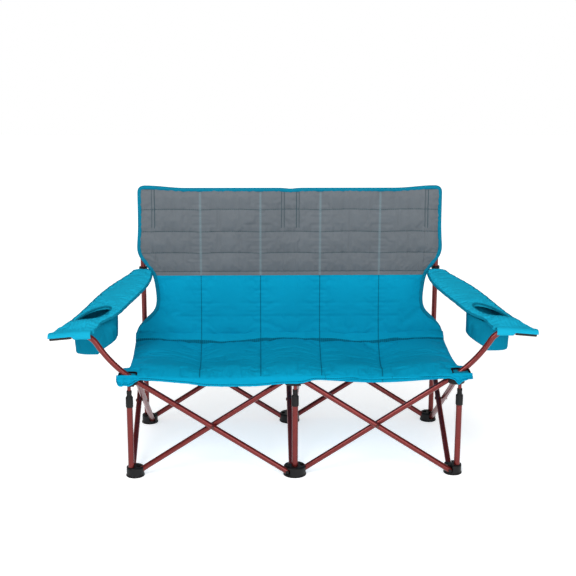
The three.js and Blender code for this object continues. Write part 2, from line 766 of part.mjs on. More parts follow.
// Slots in the front corners, where the arm tubes pass: the front band closes them.
function slotted(solid) {
  const depth = slotRear - seatFrontEnd + overrun;
  return [-1, 1].reduce((made, side) => {
    const block = new THREE.BoxGeometry(slotInner + slotOuter, depth, seatTop);
    const centreX = side * (postSpacing + (slotOuter - slotInner) / 2);
    return made.subtract(solidFrom(block.translate(centreX, slotRear - depth / 2, seatTop)));
  }, solid);
}
const seatFront = slotted(clearOfArms(seatHalf(seatFrontEnd, seatFoldDepth), clothGap));
addPart('seat_pad_front', seatFront, finishes.blueCloth);
addPart('seat_pad_rear', seatHalf(seatFoldDepth + fitGap, seatRearEnd), finishes.blueCloth);

// Band sewn along the front: it hangs in front of the hubs, lowest in the middle.
function seatBand() {
  const surface = (push) => (u, v) => {
    const x = (2 * u - 1) * seatHalfWidth;
    const cornerShare = clampShare(Math.abs(x) / seatHalfWidth) ** bandSweepPower;
    const drop = THREE.MathUtils.lerp(bandDropCentre, bandDropCorner, cornerShare);
    const bulge = bandThickness * (1 + bandBulgeShare * Math.sin(Math.PI * v)) * push;
    return point(x, seatFrontEnd - fitGap - bulge, seatBaseAt(x, 0) - v * drop);
  };
  return solidFrom(slab(stepsPerColumn * columnCount, bandSteps, surface(1), surface(0)));
}
addPart('seat_front_band', seatBand(), finishes.blueCloth);

// Back: four quilted grey rows over a plain blue part, hung from the rear posts
const backBottom = hubTop + clothGap + fitGap;
const greyBottom = backTop - greyDepth;
const backRearFace = postSpacing - rearPostRadius - clothGap;
const backEdges = [
  [backBottom, postSpacing + backBaseOverhang],
  [greyBottom - backWaistShare * greyDepth, postSpacing - backWaistInset],
  [greyBottom + backNotchShare * greyDepth, postSpacing - backNotchInset],
  [greyBottom + backWideShare * greyDepth, postSpacing + backWideOverhang],
  [backTop, postSpacing + backTopOverhang],
];
// One part of the back, between two heights, with its quilting rows
function backPad(low, high, steps, rowPuff) {
  const faceAt = (z) => backRearFace - backLean * (1 - smooth(clampShare((z - backBottom) / greyDepth)));
  const heightAt = (v) => THREE.MathUtils.lerp(low, high, v);
  const across = (u, z) => (2 * u - 1) * tableAt(backEdges, z)[0];
  const front = (u, v) => {
    const z = heightAt(v);
    const crown = backCrown * Math.sqrt(puff(u, columnCount) * Math.max(rowPuff(v), 0));
    return point(across(u, z), faceAt(z) - backThickness - crown, z);
  };
  const rear = (u, v) => point(across(u, heightAt(v)), faceAt(heightAt(v)), heightAt(v));
  return solidFrom(slab(stepsPerColumn * columnCount, steps, front, rear));
}

// Rounds the two upper corners of the back.
function roundedCorners(solid) {
  const far = backCornerRadius + overrun;
  const waste = new THREE.Shape().absarc(0, 0, backCornerRadius, Math.PI / 2, 0, true);
  waste.lineTo(far, 0).lineTo(far, far).lineTo(0, far).closePath();
  const form = { depth: postSpacing, bevelEnabled: false, curveSegments: 4 };
  return [-1, 1].reduce((made, side) => {
    const tool = new THREE.ExtrudeGeometry(waste, form);
    const centreX = postSpacing + backTopOverhang - backCornerRadius;
    tool.rotateX(Math.PI / 2).translate(centreX, 1.5 * postSpacing, backTop - backCornerRadius);
    return made.subtract(solidFrom(side < 0 ? tool.scale(-1, 1, 1) : tool));
  }, solid);
}

// The upper part has a sleeve over the top of each rear post.
function backUpper() {
  const rowPuff = (v) => puff(v, greyRowCount);
  let solid = roundedCorners(backPad(greyBottom + fitGap, backTop, stepsPerRow * greyRowCount, rowPuff));
  for (const side of sides) {
    const low = point(postX(side), postY(1), backTop - sleeveDepth);
    const high = low.clone().setZ(backTop - clothGap);
    solid = solid.add(rodSolid(rearPostRadius + runGap + sleeveWall, low, high, postSides));
  }
  for (const side of sides) {
    const low = point(postX(side), postY(1), backTop - sleeveDepth - overrun);
    const high = low.clone().setZ(rearPostTop + postCapHeight + clothGap);
    solid = solid.subtract(rodSolid(rearPostRadius + runGap, low, high, postSides));
  }
  return solid;
}
const lowerPuff = (v) => Math.sqrt(Math.sin(Math.PI * v));
const backLower = backPad(backBottom, greyBottom, backBlueSteps, lowerPuff);
addPart('back_pad_upper', backUpper(), finishes.greyCloth);
addPart('back_pad_lower', backLower, finishes.blueCloth);

// Armrest plan, as shares: along its length, then its inner and outer edge of the full reach
const armrestPlanShares = [
  [0, 0.845, 1],
  [0.07, 0.825, 0.985],
  [0.15, 0.8, 0.962],
  [0.23, 0.783, 0.927],
  [0.31, 0.748, 0.905],
  [0.48, 0.708, 0.868],
  [0.64, 0.68, 0.826],
  [0.81, 0.652, 0.773],
  [0.93, 0.646, 0.733],
  [1, 0.655, 0.71],
];
const armrestAngle = Math.atan(armrestRiseShare);
const armLevel = hubPivotHeight + armCornerUp;

// Places a form of the armrest's own level plane on its slope, behind the arm tube.
function onArmrest(geometry, side) {
  return geometry.rotateX(armrestAngle).translate(0, armTubes[side].hub.y, armLevel + armrestLift);
}

function armrest(side) {
  const rearY = postSpacing - rearPostRadius - runGap - armTubes[side].hub.y;
  const length = rearY / Math.cos(armrestAngle);
  const surface = (face) => (u, v) => {
    const [inner, outer] = tableAt(armrestPlanShares, v).map((share) => share * armrestReach);
    const out = THREE.MathUtils.lerp(inner, outer, u);
    const crown = armrestCrown * Math.sqrt(Math.sin(Math.PI * u));
    const edge = Math.sin(Math.PI * THREE.MathUtils.lerp(armrestEdgeShare, 1 - armrestEdgeShare, u));
    return point(side * out, v * length, face * ((armrestThickness / 2) * edge + crown));
  };
  const pad = slab(armrestSideSteps, armrestSteps, surface(1), surface(-1));
  let solid = solidFrom(onArmrest(pad, side));
  const innerOut = armrestPlanShares[0][1] * armrestReach;
  const tubeLine = (out) => point(side * out, armTubes[side].hub.y, armLevel);
  const sleeve = armCapRadius + fitGap + armrestSleeveWall;
  solid = solid.add(rodSolid(sleeve, tubeLine(innerOut), tubeLine(armTipX), postSides));
  const openUnder = new THREE.BoxGeometry(armCapCover + overrun, postSpacing, armLevel);
  const openX = side * (armTipX - armCapCover + (armCapCover + overrun) / 2);
  openUnder.translate(openX, 0, (armLevel - crossRadius) / 2);
  const capStart = armTipX - armCapCover - fitGap;
  const capSpace = rodSolid(armCapRadius + fitGap, tubeLine(capStart), tubeLine(armTipX + overrun), postSides);
  solid = solid.subtract(solidFrom(openUnder)).subtract(capSpace);
  const postLow = point(postX(side), postY(1), armLevel + armrestRiseShare * rearY - armrestLoopHeight / 2);
  const postHigh = postLow.clone().setZ(postLow.z + armrestLoopHeight);
  solid = solid.add(rodSolid(rearPostRadius + runGap + armrestSleeveWall, postLow, postHigh, postSides));
  const below = postLow.clone().setZ(postLow.z - overrun);
  const above = postHigh.clone().setZ(postHigh.z + overrun);
  solid = solid.subtract(rodSolid(rearPostRadius + runGap, below, above, postSides));
  const hole = turned([[0, -overrun], [cupRadius, -overrun], [cupRadius, overrun], [0, overrun]], moldSides);
  hole.translate(side * cupCentreShare * armrestReach, cupCentreBack, 0);
  return clearOfArms(solid.subtract(solidFrom(onArmrest(hole, side))), runGap);
}

// Cup pocket sewn under the hole in the armrest
function cupPocket(side) {
  const rim = -(armrestThickness / 2 + armrestCrown + fitGap);
  const base = rim - pocketDepth;
  const baseRadius = pocketRadius * pocketBaseShare;
  const profile = [
    [0, base], [baseRadius, base], [pocketRadius, rim], [pocketRadius - pocketWall, rim],
    [baseRadius - pocketWall, base + pocketWall], [0, base + pocketWall],
  ];
  const cup = turned(profile, moldSides).translate(side * cupCentreShare * armrestReach, cupCentreBack, 0);
  return solidFrom(onArmrest(cup, side));
}
for (const side of [-1, 1]) {
  addPart(`armrest_${sideNames[side]}`, armrest(side), finishes.blueCloth);
  addPart(`cup_pocket_${sideNames[side]}`, cupPocket(side), finishes.blueCloth);
}

export default loveseat;
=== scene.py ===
# %% [markdown]
# # A folding camping loveseat
# The seat is a set of crossed tubes that folds like scissors, with one quilted cloth hung
# over it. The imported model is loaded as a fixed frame, and every visible piece is then made
# over it: smooth tubes, moulded plastics, inflated quilting, bound edges and cup pockets.
# All lengths are metres. X runs across the seat, Y from front to back, Z up.

# %% Load the frame
import json
import math
import bmesh
import bpy
import numpy as np
from mathutils import Matrix, Vector


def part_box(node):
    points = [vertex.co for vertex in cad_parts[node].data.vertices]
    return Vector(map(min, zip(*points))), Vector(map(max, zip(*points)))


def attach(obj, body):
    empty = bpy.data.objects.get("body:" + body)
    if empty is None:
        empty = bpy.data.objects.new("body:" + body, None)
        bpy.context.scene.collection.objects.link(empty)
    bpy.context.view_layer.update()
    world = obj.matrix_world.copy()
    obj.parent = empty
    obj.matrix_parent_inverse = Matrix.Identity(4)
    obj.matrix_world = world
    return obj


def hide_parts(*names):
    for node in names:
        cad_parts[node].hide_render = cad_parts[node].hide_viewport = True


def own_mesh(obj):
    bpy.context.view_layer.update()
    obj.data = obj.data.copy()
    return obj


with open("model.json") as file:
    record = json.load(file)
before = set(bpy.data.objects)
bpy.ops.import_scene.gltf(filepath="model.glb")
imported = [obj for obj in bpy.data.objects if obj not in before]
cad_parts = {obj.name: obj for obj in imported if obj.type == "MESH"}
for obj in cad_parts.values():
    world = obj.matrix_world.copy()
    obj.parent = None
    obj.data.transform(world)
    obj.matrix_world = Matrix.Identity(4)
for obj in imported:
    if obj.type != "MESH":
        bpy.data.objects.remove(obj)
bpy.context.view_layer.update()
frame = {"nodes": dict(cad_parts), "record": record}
nodes = frame["nodes"]
body_of = {node: body for body, held in frame["record"]["behaviour"]["bodies"].items() for node in held}

# %% [markdown]
# ## Sizes that the whole seat shares
# Six posts stand on a square plan, and each crossed tube turns on pins set in from its post.
# Naming these few lengths once lets every piece find its place from them.

# %% Shared sizes
spacing = 0.460             # post to post
pin_inset = 0.022           # pin of a cross tube, inboard of its post
layer = 0.0085              # each tube of a cross, off the middle plane
side_plane = 0.010          # plane of an outer side cross, inboard of its post
foot_pin, hub_pin = 0.014, 0.282
tube_radius = 0.008
arm_up, arm_out, arm_tip = 0.133, 0.121, 0.222
sides_of = {-1: "left", 0: "centre", 1: "right"}

# %% [markdown]
# ## Helpers for surfaces
# A piece is a grid of points worked out as whole arrays. Two layers of one grid, joined along
# every free edge, make a closed pad, and a circle carried along a path makes a tube. A few
# more helpers build the finishes from shader nodes.

# %% Grids and closed forms
def grid_of(*values):
    """Values that vary along rows, columns or both, spread over the whole grid side by side."""
    return np.stack(np.broadcast_arrays(*values), -1)


def grid_faces(rows, columns, around=False):
    """Quads between neighbours of a grid; around joins the last column to the first."""
    here, below = np.arange(rows - 1)[:, None] * columns, np.arange(1, rows)[:, None] * columns
    c = np.arange(columns if around else columns - 1)[None, :]
    n = (c + 1) % columns
    return grid_of(here + c, here + n, below + n, below + c).reshape(-1, 4)


def closed_shell(upper, lower, faces):
    """Two layers on one grid. A free edge is one that a single face uses, and each gets a rim
    face from the upper layer down to the lower one."""
    count = len(upper)
    edges = np.concatenate([faces[:, [k, (k + 1) % 4]] for k in range(4)])
    _, inverse, uses = np.unique(np.sort(edges, 1), axis=0, return_inverse=True, return_counts=True)
    free = edges[uses[inverse.ravel()] == 1]
    rim = np.stack([free[:, 1], free[:, 0], free[:, 0] + count, free[:, 1] + count], 1)
    return np.concatenate([upper, lower]), np.concatenate([faces, faces[:, ::-1] + count, rim])


def smooth(share):
    """3 s^2 - 2 s^3, from 0 to 1, with a level start and end."""
    share = np.clip(share, 0, 1)
    return share * share * (3 - 2 * share)


def rounded(value, power):
    """|v|^power with the sign of v: squares up a circle's sine and cosine."""
    return np.sign(value) * np.abs(value) ** power


def run_along(path):
    """Length of a line of points, from its start to each of them."""
    return np.concatenate([[0], np.cumsum(np.linalg.norm(np.diff(path, axis=0), axis=1))])


def curve_through(table, place):
    """Cubic through rows of (place, values): the slope at a row is that of the line through
    its two neighbours."""
    at, value = table[:, 0], table[:, 1:]
    before = np.maximum(np.arange(len(at)) - 1, 0)
    after = np.minimum(np.arange(len(at)) + 1, len(at) - 1)
    slope = (value[after] - value[before]) / (at[after] - at[before])[:, None]
    place = np.asarray(place, float)
    k = np.clip(np.searchsorted(at, place), 1, len(at) - 1)
    run = (at[k] - at[k - 1])[..., None]
    s = np.clip((place - at[k - 1])[..., None] / run, 0, 1)
    blend = s * s * (3 - 2 * s)
    return (value[k - 1] * (1 - blend) + value[k] * blend
            + run * (s * (1 - s) ** 2 * slope[k - 1] + s * s * (s - 1) * slope[k]))


# %% [markdown]
# A mesh becomes an object with its finish. A map gives every point a flat place,
# in metres, that the cloth finishes read.

# %% Making a piece
def as_object(name, mesh, finish, crease):
    """The mesh as an object, smooth but for edges sharper than crease degrees."""
    mesh.polygons.foreach_set("use_smooth", np.ones(len(mesh.polygons), bool))
    mesh.set_sharp_from_angle(angle=math.radians(crease))
    mesh.materials.append(finish)
    made = bpy.data.objects.new(name, mesh)
    bpy.context.scene.collection.objects.link(made)
    return made


def piece(name, points, faces, finish, maps=None, crease=50):
    """An object from whole arrays, with unused and doubled points dropped and its faces turned
    outwards. Each of the maps holds a place in metres for every point."""
    points = np.asarray(points, float).reshape(-1, 3)
    used, inverse = np.unique(faces, return_inverse=True)
    mesh = bpy.data.meshes.new(name)
    mesh.from_pydata(points[used].tolist(), [], inverse.reshape(faces.shape).tolist())
    corner = np.empty(len(mesh.loops), int)
    mesh.loops.foreach_get("vertex_index", corner)
    for label, values in (maps or {}).items():
        place = np.asarray(values, float).reshape(-1, 2)[used][corner]
        mesh.uv_layers.new(name=label).data.foreach_set("uv", place.ravel())
    form = bmesh.new()
    form.from_mesh(mesh)
    bmesh.ops.remove_doubles(form, verts=form.verts, dist=1e-6)
    bmesh.ops.recalc_face_normals(form, faces=form.faces)
    form.to_mesh(mesh)
    form.free()
    return as_object(name, mesh, finish, crease)


def ringed(name, points, finish, maps=None, crease=50):
    """A piece from rings of points, each joined to the next."""
    return piece(name, points, grid_faces(*points.shape[:2], True), finish, maps, crease)


def layered(name, layers, finish, maps, crease, faces=None, around=False):
    """A closed piece of two layers on one grid. Both take the same maps."""
    upper, lower = layers
    if faces is None:
        faces = grid_faces(*upper.shape[:2], around)
    points, faces = closed_shell(upper.reshape(-1, 3), lower.reshape(-1, 3), faces)
    maps = {label: np.concatenate([place.reshape(-1, 2)] * 2) for label, place in maps.items()}
    return piece(name, points, faces, finish, maps, crease)


def in_place_of(node, made):
    """The piece hides its solid and rides on the same body."""
    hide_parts(node)
    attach(made, body_of[node])
    return made


def crumple_sideways(made):
    """The piece takes a copy of its mesh, so that the mesh is its own."""
    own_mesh(made)


def tube_points(path, radius, sides, across, domed=True):
    """Circle carried along a path: p + r (cos a . across + sin a . other), where other is the
    tangent crossed with across. Domed ends close in quarter circles."""
    path = np.asarray(path, float)
    tangent = np.gradient(path, axis=0)
    tangent /= np.linalg.norm(tangent, axis=1, keepdims=True)
    across = np.broadcast_to(np.asarray(across, float), path.shape)
    across = across - (across * tangent).sum(1, keepdims=True) * tangent
    across = across / np.linalg.norm(across, axis=1, keepdims=True)
    other = np.cross(tangent, across)
    radii = np.full(len(path), float(radius))
    if domed:
        turn = np.linspace(0, math.pi / 2, 7)[1:]
        rise, shrink = radius * np.sin(turn)[:, None], radius * np.cos(turn)
        path = np.concatenate([path[0] - tangent[0] * rise[::-1], path, path[-1] + tangent[-1] * rise])
        across, other = (np.pad(v, ((6, 6), (0, 0)), mode="edge") for v in (across, other))
        radii = np.concatenate([shrink[::-1], radii, shrink])
    angle = np.linspace(0, 2 * math.pi, sides, endpoint=False)
    ring = np.cos(angle)[None, :, None] * across[:, None] + np.sin(angle)[None, :, None] * other[:, None]
    return path[:, None] + radii[:, None, None] * ring


def turned_points(profile, sides, centre):
    """Profile of (radius, height) turned about the vertical line through centre."""
    profile = np.asarray(profile, float)
    angle = np.linspace(0, 2 * math.pi, sides, endpoint=False)
    x = centre[0] + profile[:, :1] * np.cos(angle)
    y = centre[1] + profile[:, :1] * np.sin(angle)
    return grid_of(x, y, profile[:, 1:])


# %% [markdown]
# The finishes are made of shader nodes. Each helper adds one node and hands on what it gives.

# %% Shader nodes
def set_all(thing, **options):
    """Each named option of the thing takes its value."""
    for option, value in options.items():
        setattr(thing, option, value)


def feed(tree, node, values):
    """Each named input takes a link from a socket, a colour of three numbers, or a value."""
    for label, value in values.items():
        socket = node.inputs[label]
        if isinstance(value, bpy.types.NodeSocket):
            tree.links.new(value, socket)
        else:
            socket.default_value = (*value, 1) if socket.type == "RGBA" else value


def add_node(tree, kind, values=None, **options):
    """The outputs of a new shader node."""
    made = tree.nodes.new("ShaderNode" + kind)
    set_all(made, **options)
    feed(tree, made, values or {})
    return made.outputs


def calculated(tree, kind, *values):
    """A Math node fed by sockets or numbers."""
    return add_node(tree, "Math", dict(enumerate(values)), operation=kind)[0]


def product(tree, a, b):
    """a times b."""
    return calculated(tree, "MULTIPLY", a, b)


def mixed(tree, factor, a, b):
    """Colour a turning to colour b as factor goes from 0 to 1."""
    return add_node(tree, "Mix", {"Factor": factor, "A": a, "B": b}, data_type="RGBA")["Result"]


def new_material(name, values):
    """A material, its tree and its main shader, which takes the values."""
    material = bpy.data.materials.new(name)
    material.use_nodes = True
    shader = material.node_tree.nodes["Principled BSDF"]
    feed(material.node_tree, shader, values)
    return material, material.node_tree, shader


print("helpers ready")

# %% [markdown]
# ## Camera
# The picture was taken from a little left of the middle and from above head height of a
# sitter. The camera's place and angles came from lining up the feet, posts and crossings.

# %% Camera
yaw, pitch, roll = math.radians(-1.85), math.radians(12.57), math.radians(-0.17)
camera_place = (-0.113, -2.852, 1.178)
focal_pixels, picture_pixels = 1074.4, 576
camera_data = bpy.data.cameras.new("camera")
camera_data.sensor_width = 36
camera_data.lens = camera_data.sensor_width * focal_pixels / picture_pixels
camera = bpy.data.objects.new("camera", camera_data)
bpy.context.scene.collection.objects.link(camera)
bpy.context.scene.camera = camera
level_x = Vector((math.cos(yaw), math.sin(yaw), 0))
level_y = Vector((-math.sin(yaw), math.cos(yaw), 0))
ahead = level_y * math.cos(pitch) - Vector((0, 0, 1)) * math.sin(pitch)
above = level_y * math.sin(pitch) + Vector((0, 0, 1)) * math.cos(pitch)
right = level_x * math.cos(roll) - above * math.sin(roll)
top = level_x * math.sin(roll) + above * math.cos(roll)
turned_to_view = Matrix((right, top, -ahead)).transposed().to_4x4()
camera.matrix_world = Matrix.Translation(camera_place) @ turned_to_view
print("camera at", [round(v, 3) for v in camera.matrix_world.translation])

# %% [markdown]
# ## Floor and studio light
# The real seat stands on white paper in front of large soft lamps, in a room that is darker
# overhead. The paper's own faint glow, stronger far away, keeps it white to the horizon, and
# the darker sky above gives the tubes their dark upper edge. The lamp overhead lights only the
# cloth: it is hidden from glossy rays, so no tube shows it.

# %% Floor and lamps
floor_half = 12.0
corners = np.array([[-1, -1, 0], [1, -1, 0], [1, 1, 0], [-1, 1, 0]]) * floor_half
floor_mesh = bpy.data.meshes.new("floor")
floor_mesh.from_pydata(corners.tolist(), [], [[0, 1, 2, 3]])
floor = bpy.data.objects.new("floor", floor_mesh)
bpy.context.scene.collection.objects.link(floor)
paper, tree, shader = new_material("white_paper", {
    "Base Color": (0.93, 0.93, 0.93), "Roughness": 0.9, "Emission Color": (1, 1, 1)})
place = add_node(tree, "TexCoord")["Object"]
away = add_node(tree, "VectorMath", {0: place}, operation="LENGTH")["Value"]
glow = add_node(tree, "MapRange", {"Value": away, "From Min": 0.9, "From Max": 4.0,
                                   "To Min": 0.56, "To Max": 0.97})["Result"]
feed(tree, shader, {"Emission Strength": glow})
floor_mesh.materials.append(paper)

sky = bpy.data.worlds.new("sky")
bpy.context.scene.world = sky
sky.use_nodes = True
tree = sky.node_tree
direction = add_node(tree, "TexCoord")["Generated"]
height = add_node(tree, "SeparateXYZ", {"Vector": direction})["Z"]
darker_above = add_node(tree, "MapRange", {"Value": height, "From Min": 0.05, "From Max": 0.75,
                                           "To Min": 0.66, "To Max": 0.12})["Result"]
seen = add_node(tree, "LightPath")["Is Camera Ray"]
strength = add_node(tree, "Mix", {"Factor": seen, "A": darker_above, "B": 1.0})["Result"]
feed(tree, tree.nodes["Background"], {"Color": (1, 1, 1), "Strength": strength})


def lamp(name, place, target, size, power):
    """A square lamp that faces its target."""
    data = bpy.data.lights.new(name, "AREA")
    data.shape, data.size, data.energy = "SQUARE", size, power
    made = bpy.data.objects.new(name, data)
    bpy.context.scene.collection.objects.link(made)
    direction = Vector(target) - Vector(place)
    made.matrix_world = Matrix.Translation(place) @ direction.to_track_quat("-Z", "Y").to_matrix().to_4x4()
    return made


lamp("key_lamp", (-1.5, -3.0, 2.9), (0, 0.2, 0.35), 2.0, 88)
lamp("fill_lamp", (1.7, -3.3, 1.2), (0, 0.2, 0.45), 2.0, 52)
lamp("top_lamp", (-0.2, -0.5, 3.0), (0, 0.2, 0.35), 2.4, 38).visible_glossy = False
bpy.context.scene.view_settings.view_transform = "Standard"
print("floor and lamps placed")

# %% [markdown]
# ## Finishes of the frame
# The tubes have a brick-red metallic powder coat: part metal, part lacquer, with a fine
# orange-peel bump and a slight drift in colour. The plastics are black and finely grained.

# %% Frame finishes
def speckled(name, dark, light, spot, roughness, metallic=0.0, grain=900.0, bump=0.06, coat=0.0,
             specular=0.5):
    """Colour drifts between dark and light in soft spots, and a fine grain raises the surface."""
    material, tree, shader = new_material(name, {
        "Metallic": metallic, "Coat Weight": coat, "Coat Roughness": 0.2, "Specular IOR Level": specular})
    place = add_node(tree, "TexCoord")["Object"]
    drift = add_node(tree, "TexNoise", {"Scale": spot, "Detail": 4, "Vector": place})["Fac"]
    rough = add_node(tree, "MapRange", {"Value": drift, "To Min": roughness - 0.06,
                                        "To Max": roughness + 0.06})["Result"]
    fine = add_node(tree, "TexNoise", {"Scale": grain, "Vector": place})["Fac"]
    raised = add_node(tree, "Bump", {"Strength": bump, "Distance": 0.0005, "Height": fine})["Normal"]
    feed(tree, shader, {"Base Color": mixed(tree, drift, dark, light), "Roughness": rough, "Normal": raised})
    return material


red_coat = speckled("brick_red_powder_coat", (0.118, 0.008, 0.007), (0.165, 0.014, 0.012), 14, 0.27,
                    metallic=0.55, grain=700, bump=0.05, coat=0.15)
black_moulding = speckled("black_moulded_plastic", (0.0025, 0.0025, 0.003), (0.006, 0.006, 0.0065), 30, 0.5,
                          grain=1500, bump=0.12, specular=0.22)
rivet_steel = speckled("dark_rivet_steel", (0.070, 0.022, 0.020), (0.120, 0.045, 0.040), 60, 0.42,
                      metallic=0.7)
print("frame finishes ready")

# %% [markdown]
# ## Crossed tubes and arm tubes
# Each cross is two 16 mm tubes, one in front of the other. A facetted solid shows flats at
# this size, so each tube is made again as a fine circle carried along its own centre line.
# The arm tubes run on past their hubs, lean outwards and bend level under the armrests.

# %% Crossed tubes
def tube_piece(node, path, across, sides=28):
    """A round tube in place of its solid."""
    points = tube_points(path, tube_radius, sides, across)
    in_place_of(node, ringed(node + "_skin", points, red_coat))


def straight(start, end, count=9):
    """Points at even steps from start to end."""
    return np.linspace(start, end, count)


for row, tag in ((0, "front"), (1, "rear")):
    falling_y, rising_y = row * spacing - layer, row * spacing + layer
    low, high = spacing - pin_inset, pin_inset
    lines = {"left_falling": ((-low, falling_y, hub_pin), (-high, falling_y, foot_pin)),
             "left_rising": ((-low, rising_y, foot_pin), (-high, rising_y, hub_pin)),
             "right_rising": ((high, rising_y, foot_pin), (low, rising_y, hub_pin)),
             "right_falling": ((high, falling_y, hub_pin), (low, falling_y, foot_pin))}
    for name, (start, end) in lines.items():
        if f"{tag}_cross_{name}" in nodes:
            tube_piece(f"{tag}_cross_{name}", straight(start, end), (0, 1, 0))
for side, name in sides_of.items():
    x = side * (spacing - side_plane)
    near, far = pin_inset, spacing - pin_inset
    tube_piece(f"side_cross_{name}_climbing",
               straight((x - layer, near, foot_pin), (x - layer, far, hub_pin)), (1, 0, 0))
    tube_piece(f"side_cross_{name}_dropping",
               straight((x + layer, far, foot_pin), (x + layer, near, hub_pin)), (1, 0, 0))

# %% [markdown]
# An arm tube is one line: straight to the hub, a long curve, a tight bend, then level.

# %% Arm tubes
def bezier(a, b, c, count):
    """Quadratic curve: (1-t)^2 a + 2 t (1-t) b + t^2 c."""
    t = np.linspace(0, 1, count)[:, None]
    return (1 - t) ** 2 * a + 2 * t * (1 - t) * b + t * t * c


def tip_droop(out):
    """The outer end hangs a little: one part in eleven beyond the bend."""
    return 0.09 * np.maximum(out - 0.587, 0)


def arm_path(side):
    """Straight from the foot to the hub, up along one curve, round the bend, then out."""
    y = side * layer
    hub = np.array([side * (spacing - pin_inset), y, hub_pin])
    at = lambda out, up: hub + np.array([side * out, 0, up])
    low_slope = (hub_pin - foot_pin) / (spacing - 2 * pin_inset)
    steep, bend = math.radians(58), 0.030
    meet = (math.tan(steep) * arm_out - arm_up) / (math.tan(steep) - low_slope)
    before = at(arm_out - bend * math.cos(steep), arm_up - bend * math.sin(steep))
    after = at(arm_out + bend, arm_up)
    foot = np.array([side * pin_inset, y, foot_pin])
    path = np.concatenate([
        straight(foot, hub, 12)[:-1], bezier(hub, at(meet, meet * low_slope), before, 40)[:-1],
        bezier(before, at(arm_out, arm_up), after, 24)[:-1], straight(after, at(arm_tip, arm_up), 6)])
    path[:, 2] -= tip_droop(np.abs(path[:, 0]))
    return path


for side in (-1, 1):
    tube_piece(f"arm_tube_{sides_of[side]}", arm_path(side), (0, 1, 0), sides=32)

# %% [markdown]
# ## Posts, collars and caps
# A front leg telescopes: a thin inner tube slides in the outer one through a black collar
# with a narrower neck. These are turned shapes, so each is a profile turned about its post.

# %% Posts and collars
def tube_profile(radius, wall, low, high):
    """Hollow tube with its two rims, closed on itself."""
    rim = 0.0004
    inner = radius - wall
    return [(inner, low), (radius - rim, low), (radius, low + rim), (radius, high - rim),
            (radius - rim, high), (inner, high), (inner, low)]


collar_profile = [(0.0088, 0.205), (0.0098, 0.205), (0.0103, 0.2056), (0.0103, 0.2325), (0.0100, 0.2338),
                  (0.0078, 0.2365), (0.0073, 0.2375), (0.0073, 0.2400), (0.0068, 0.2404), (0.0068, 0.2440),
                  (0.0073, 0.2444), (0.0073, 0.2520), (0.0069, 0.2528), (0.0060, 0.2530), (0.0055, 0.2528),
                  (0.0055, 0.2293), (0.0088, 0.2293), (0.0088, 0.205)]
cap_profile = [(0, 0.720), (0.0065, 0.720), (0.0065, 0.7363), (0.008, 0.7363), (0.008, 0.7383),
               (0.0074, 0.7395), (0.006, 0.7403), (0, 0.7403)]
for side, name in sides_of.items():
    front, rear = (side * spacing, 0.0), (side * spacing, spacing)
    for node, profile, place, is_tube in (
            ("front_post", tube_profile(0.0085, 0.0012, 0.0058, 0.229), front, True),
            ("front_inner_tube", tube_profile(0.005, 0.0012, 0.0061, 0.278), front, True),
            ("front_collar", collar_profile, front, False),
            ("rear_post", tube_profile(0.008, 0.0012, 0.0058, 0.736), rear, True),
            ("rear_post_cap", cap_profile, rear, False)):
        finish, slot = (red_coat, "red_tube") if is_tube else (black_moulding, "black_plastic")
        made = ringed(f"{node}_{name}_turned", turned_points(profile, 40, place), finish, crease=35)
        in_place_of(f"{node}_{name}", made)
print("posts and collars turned")

# %% [markdown]
# ## Rivets and arm caps
# The crossings are held by domed rivets. A black sleeve closes the end of each arm tube.

# %% Rivets and arm caps
rivet_dome = np.array([(0, 0.0210), (0.0016, 0.0208), (0.0032, 0.0202), (0.0044, 0.0193), (0.0050, 0.0182),
                       (0.0050, 0.0173), (0.0030, 0.0170)]) * (1, 0.91)
rivet_profile = np.concatenate([rivet_dome, rivet_dome[::-1] * (1, -1)])
for node in [n for n in nodes if "cross_rivet" in n]:
    centre = np.mean(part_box(node), axis=0)
    order = [2, 0, 1] if node.startswith("side") else [0, 2, 1]
    points = turned_points(rivet_profile, 24, (0, 0))[..., order] + centre
    in_place_of(node, ringed(node + "_domed", points, rivet_steel, crease=35))

arm_level = hub_pin + arm_up
tip_x = spacing - pin_inset + arm_tip
cap_section = [(0.0083, -0.048), (0.0090, -0.048), (0.0095, -0.0474), (0.0095, 0.0085), (0.0091, 0.0096),
               (0.0080, 0.0100), (0, 0.0100), (0, 0.0003), (0.0083, 0.0003), (0.0083, -0.048)]
for side in (-1, 1):
    node = f"arm_tube_cap_{sides_of[side]}"
    turned = turned_points(cap_section, 36, (0, 0))
    points = np.stack([side * (turned[..., 2] + tip_x), turned[..., 0] + side * layer,
                       turned[..., 1] + arm_level], -1)
    points[..., 2] -= tip_droop(np.abs(points[..., 0]))
    in_place_of(node, ringed(node + "_sleeve", points, black_moulding, crease=35))
print("rivets and caps turned")

# %% [markdown]
# ## Feet and hubs
# The mouldings are cut open where a tube swings, so they are copied from the solids. A copy is
# merged, cut finer, and every point near a turned surface is moved out onto the circle.

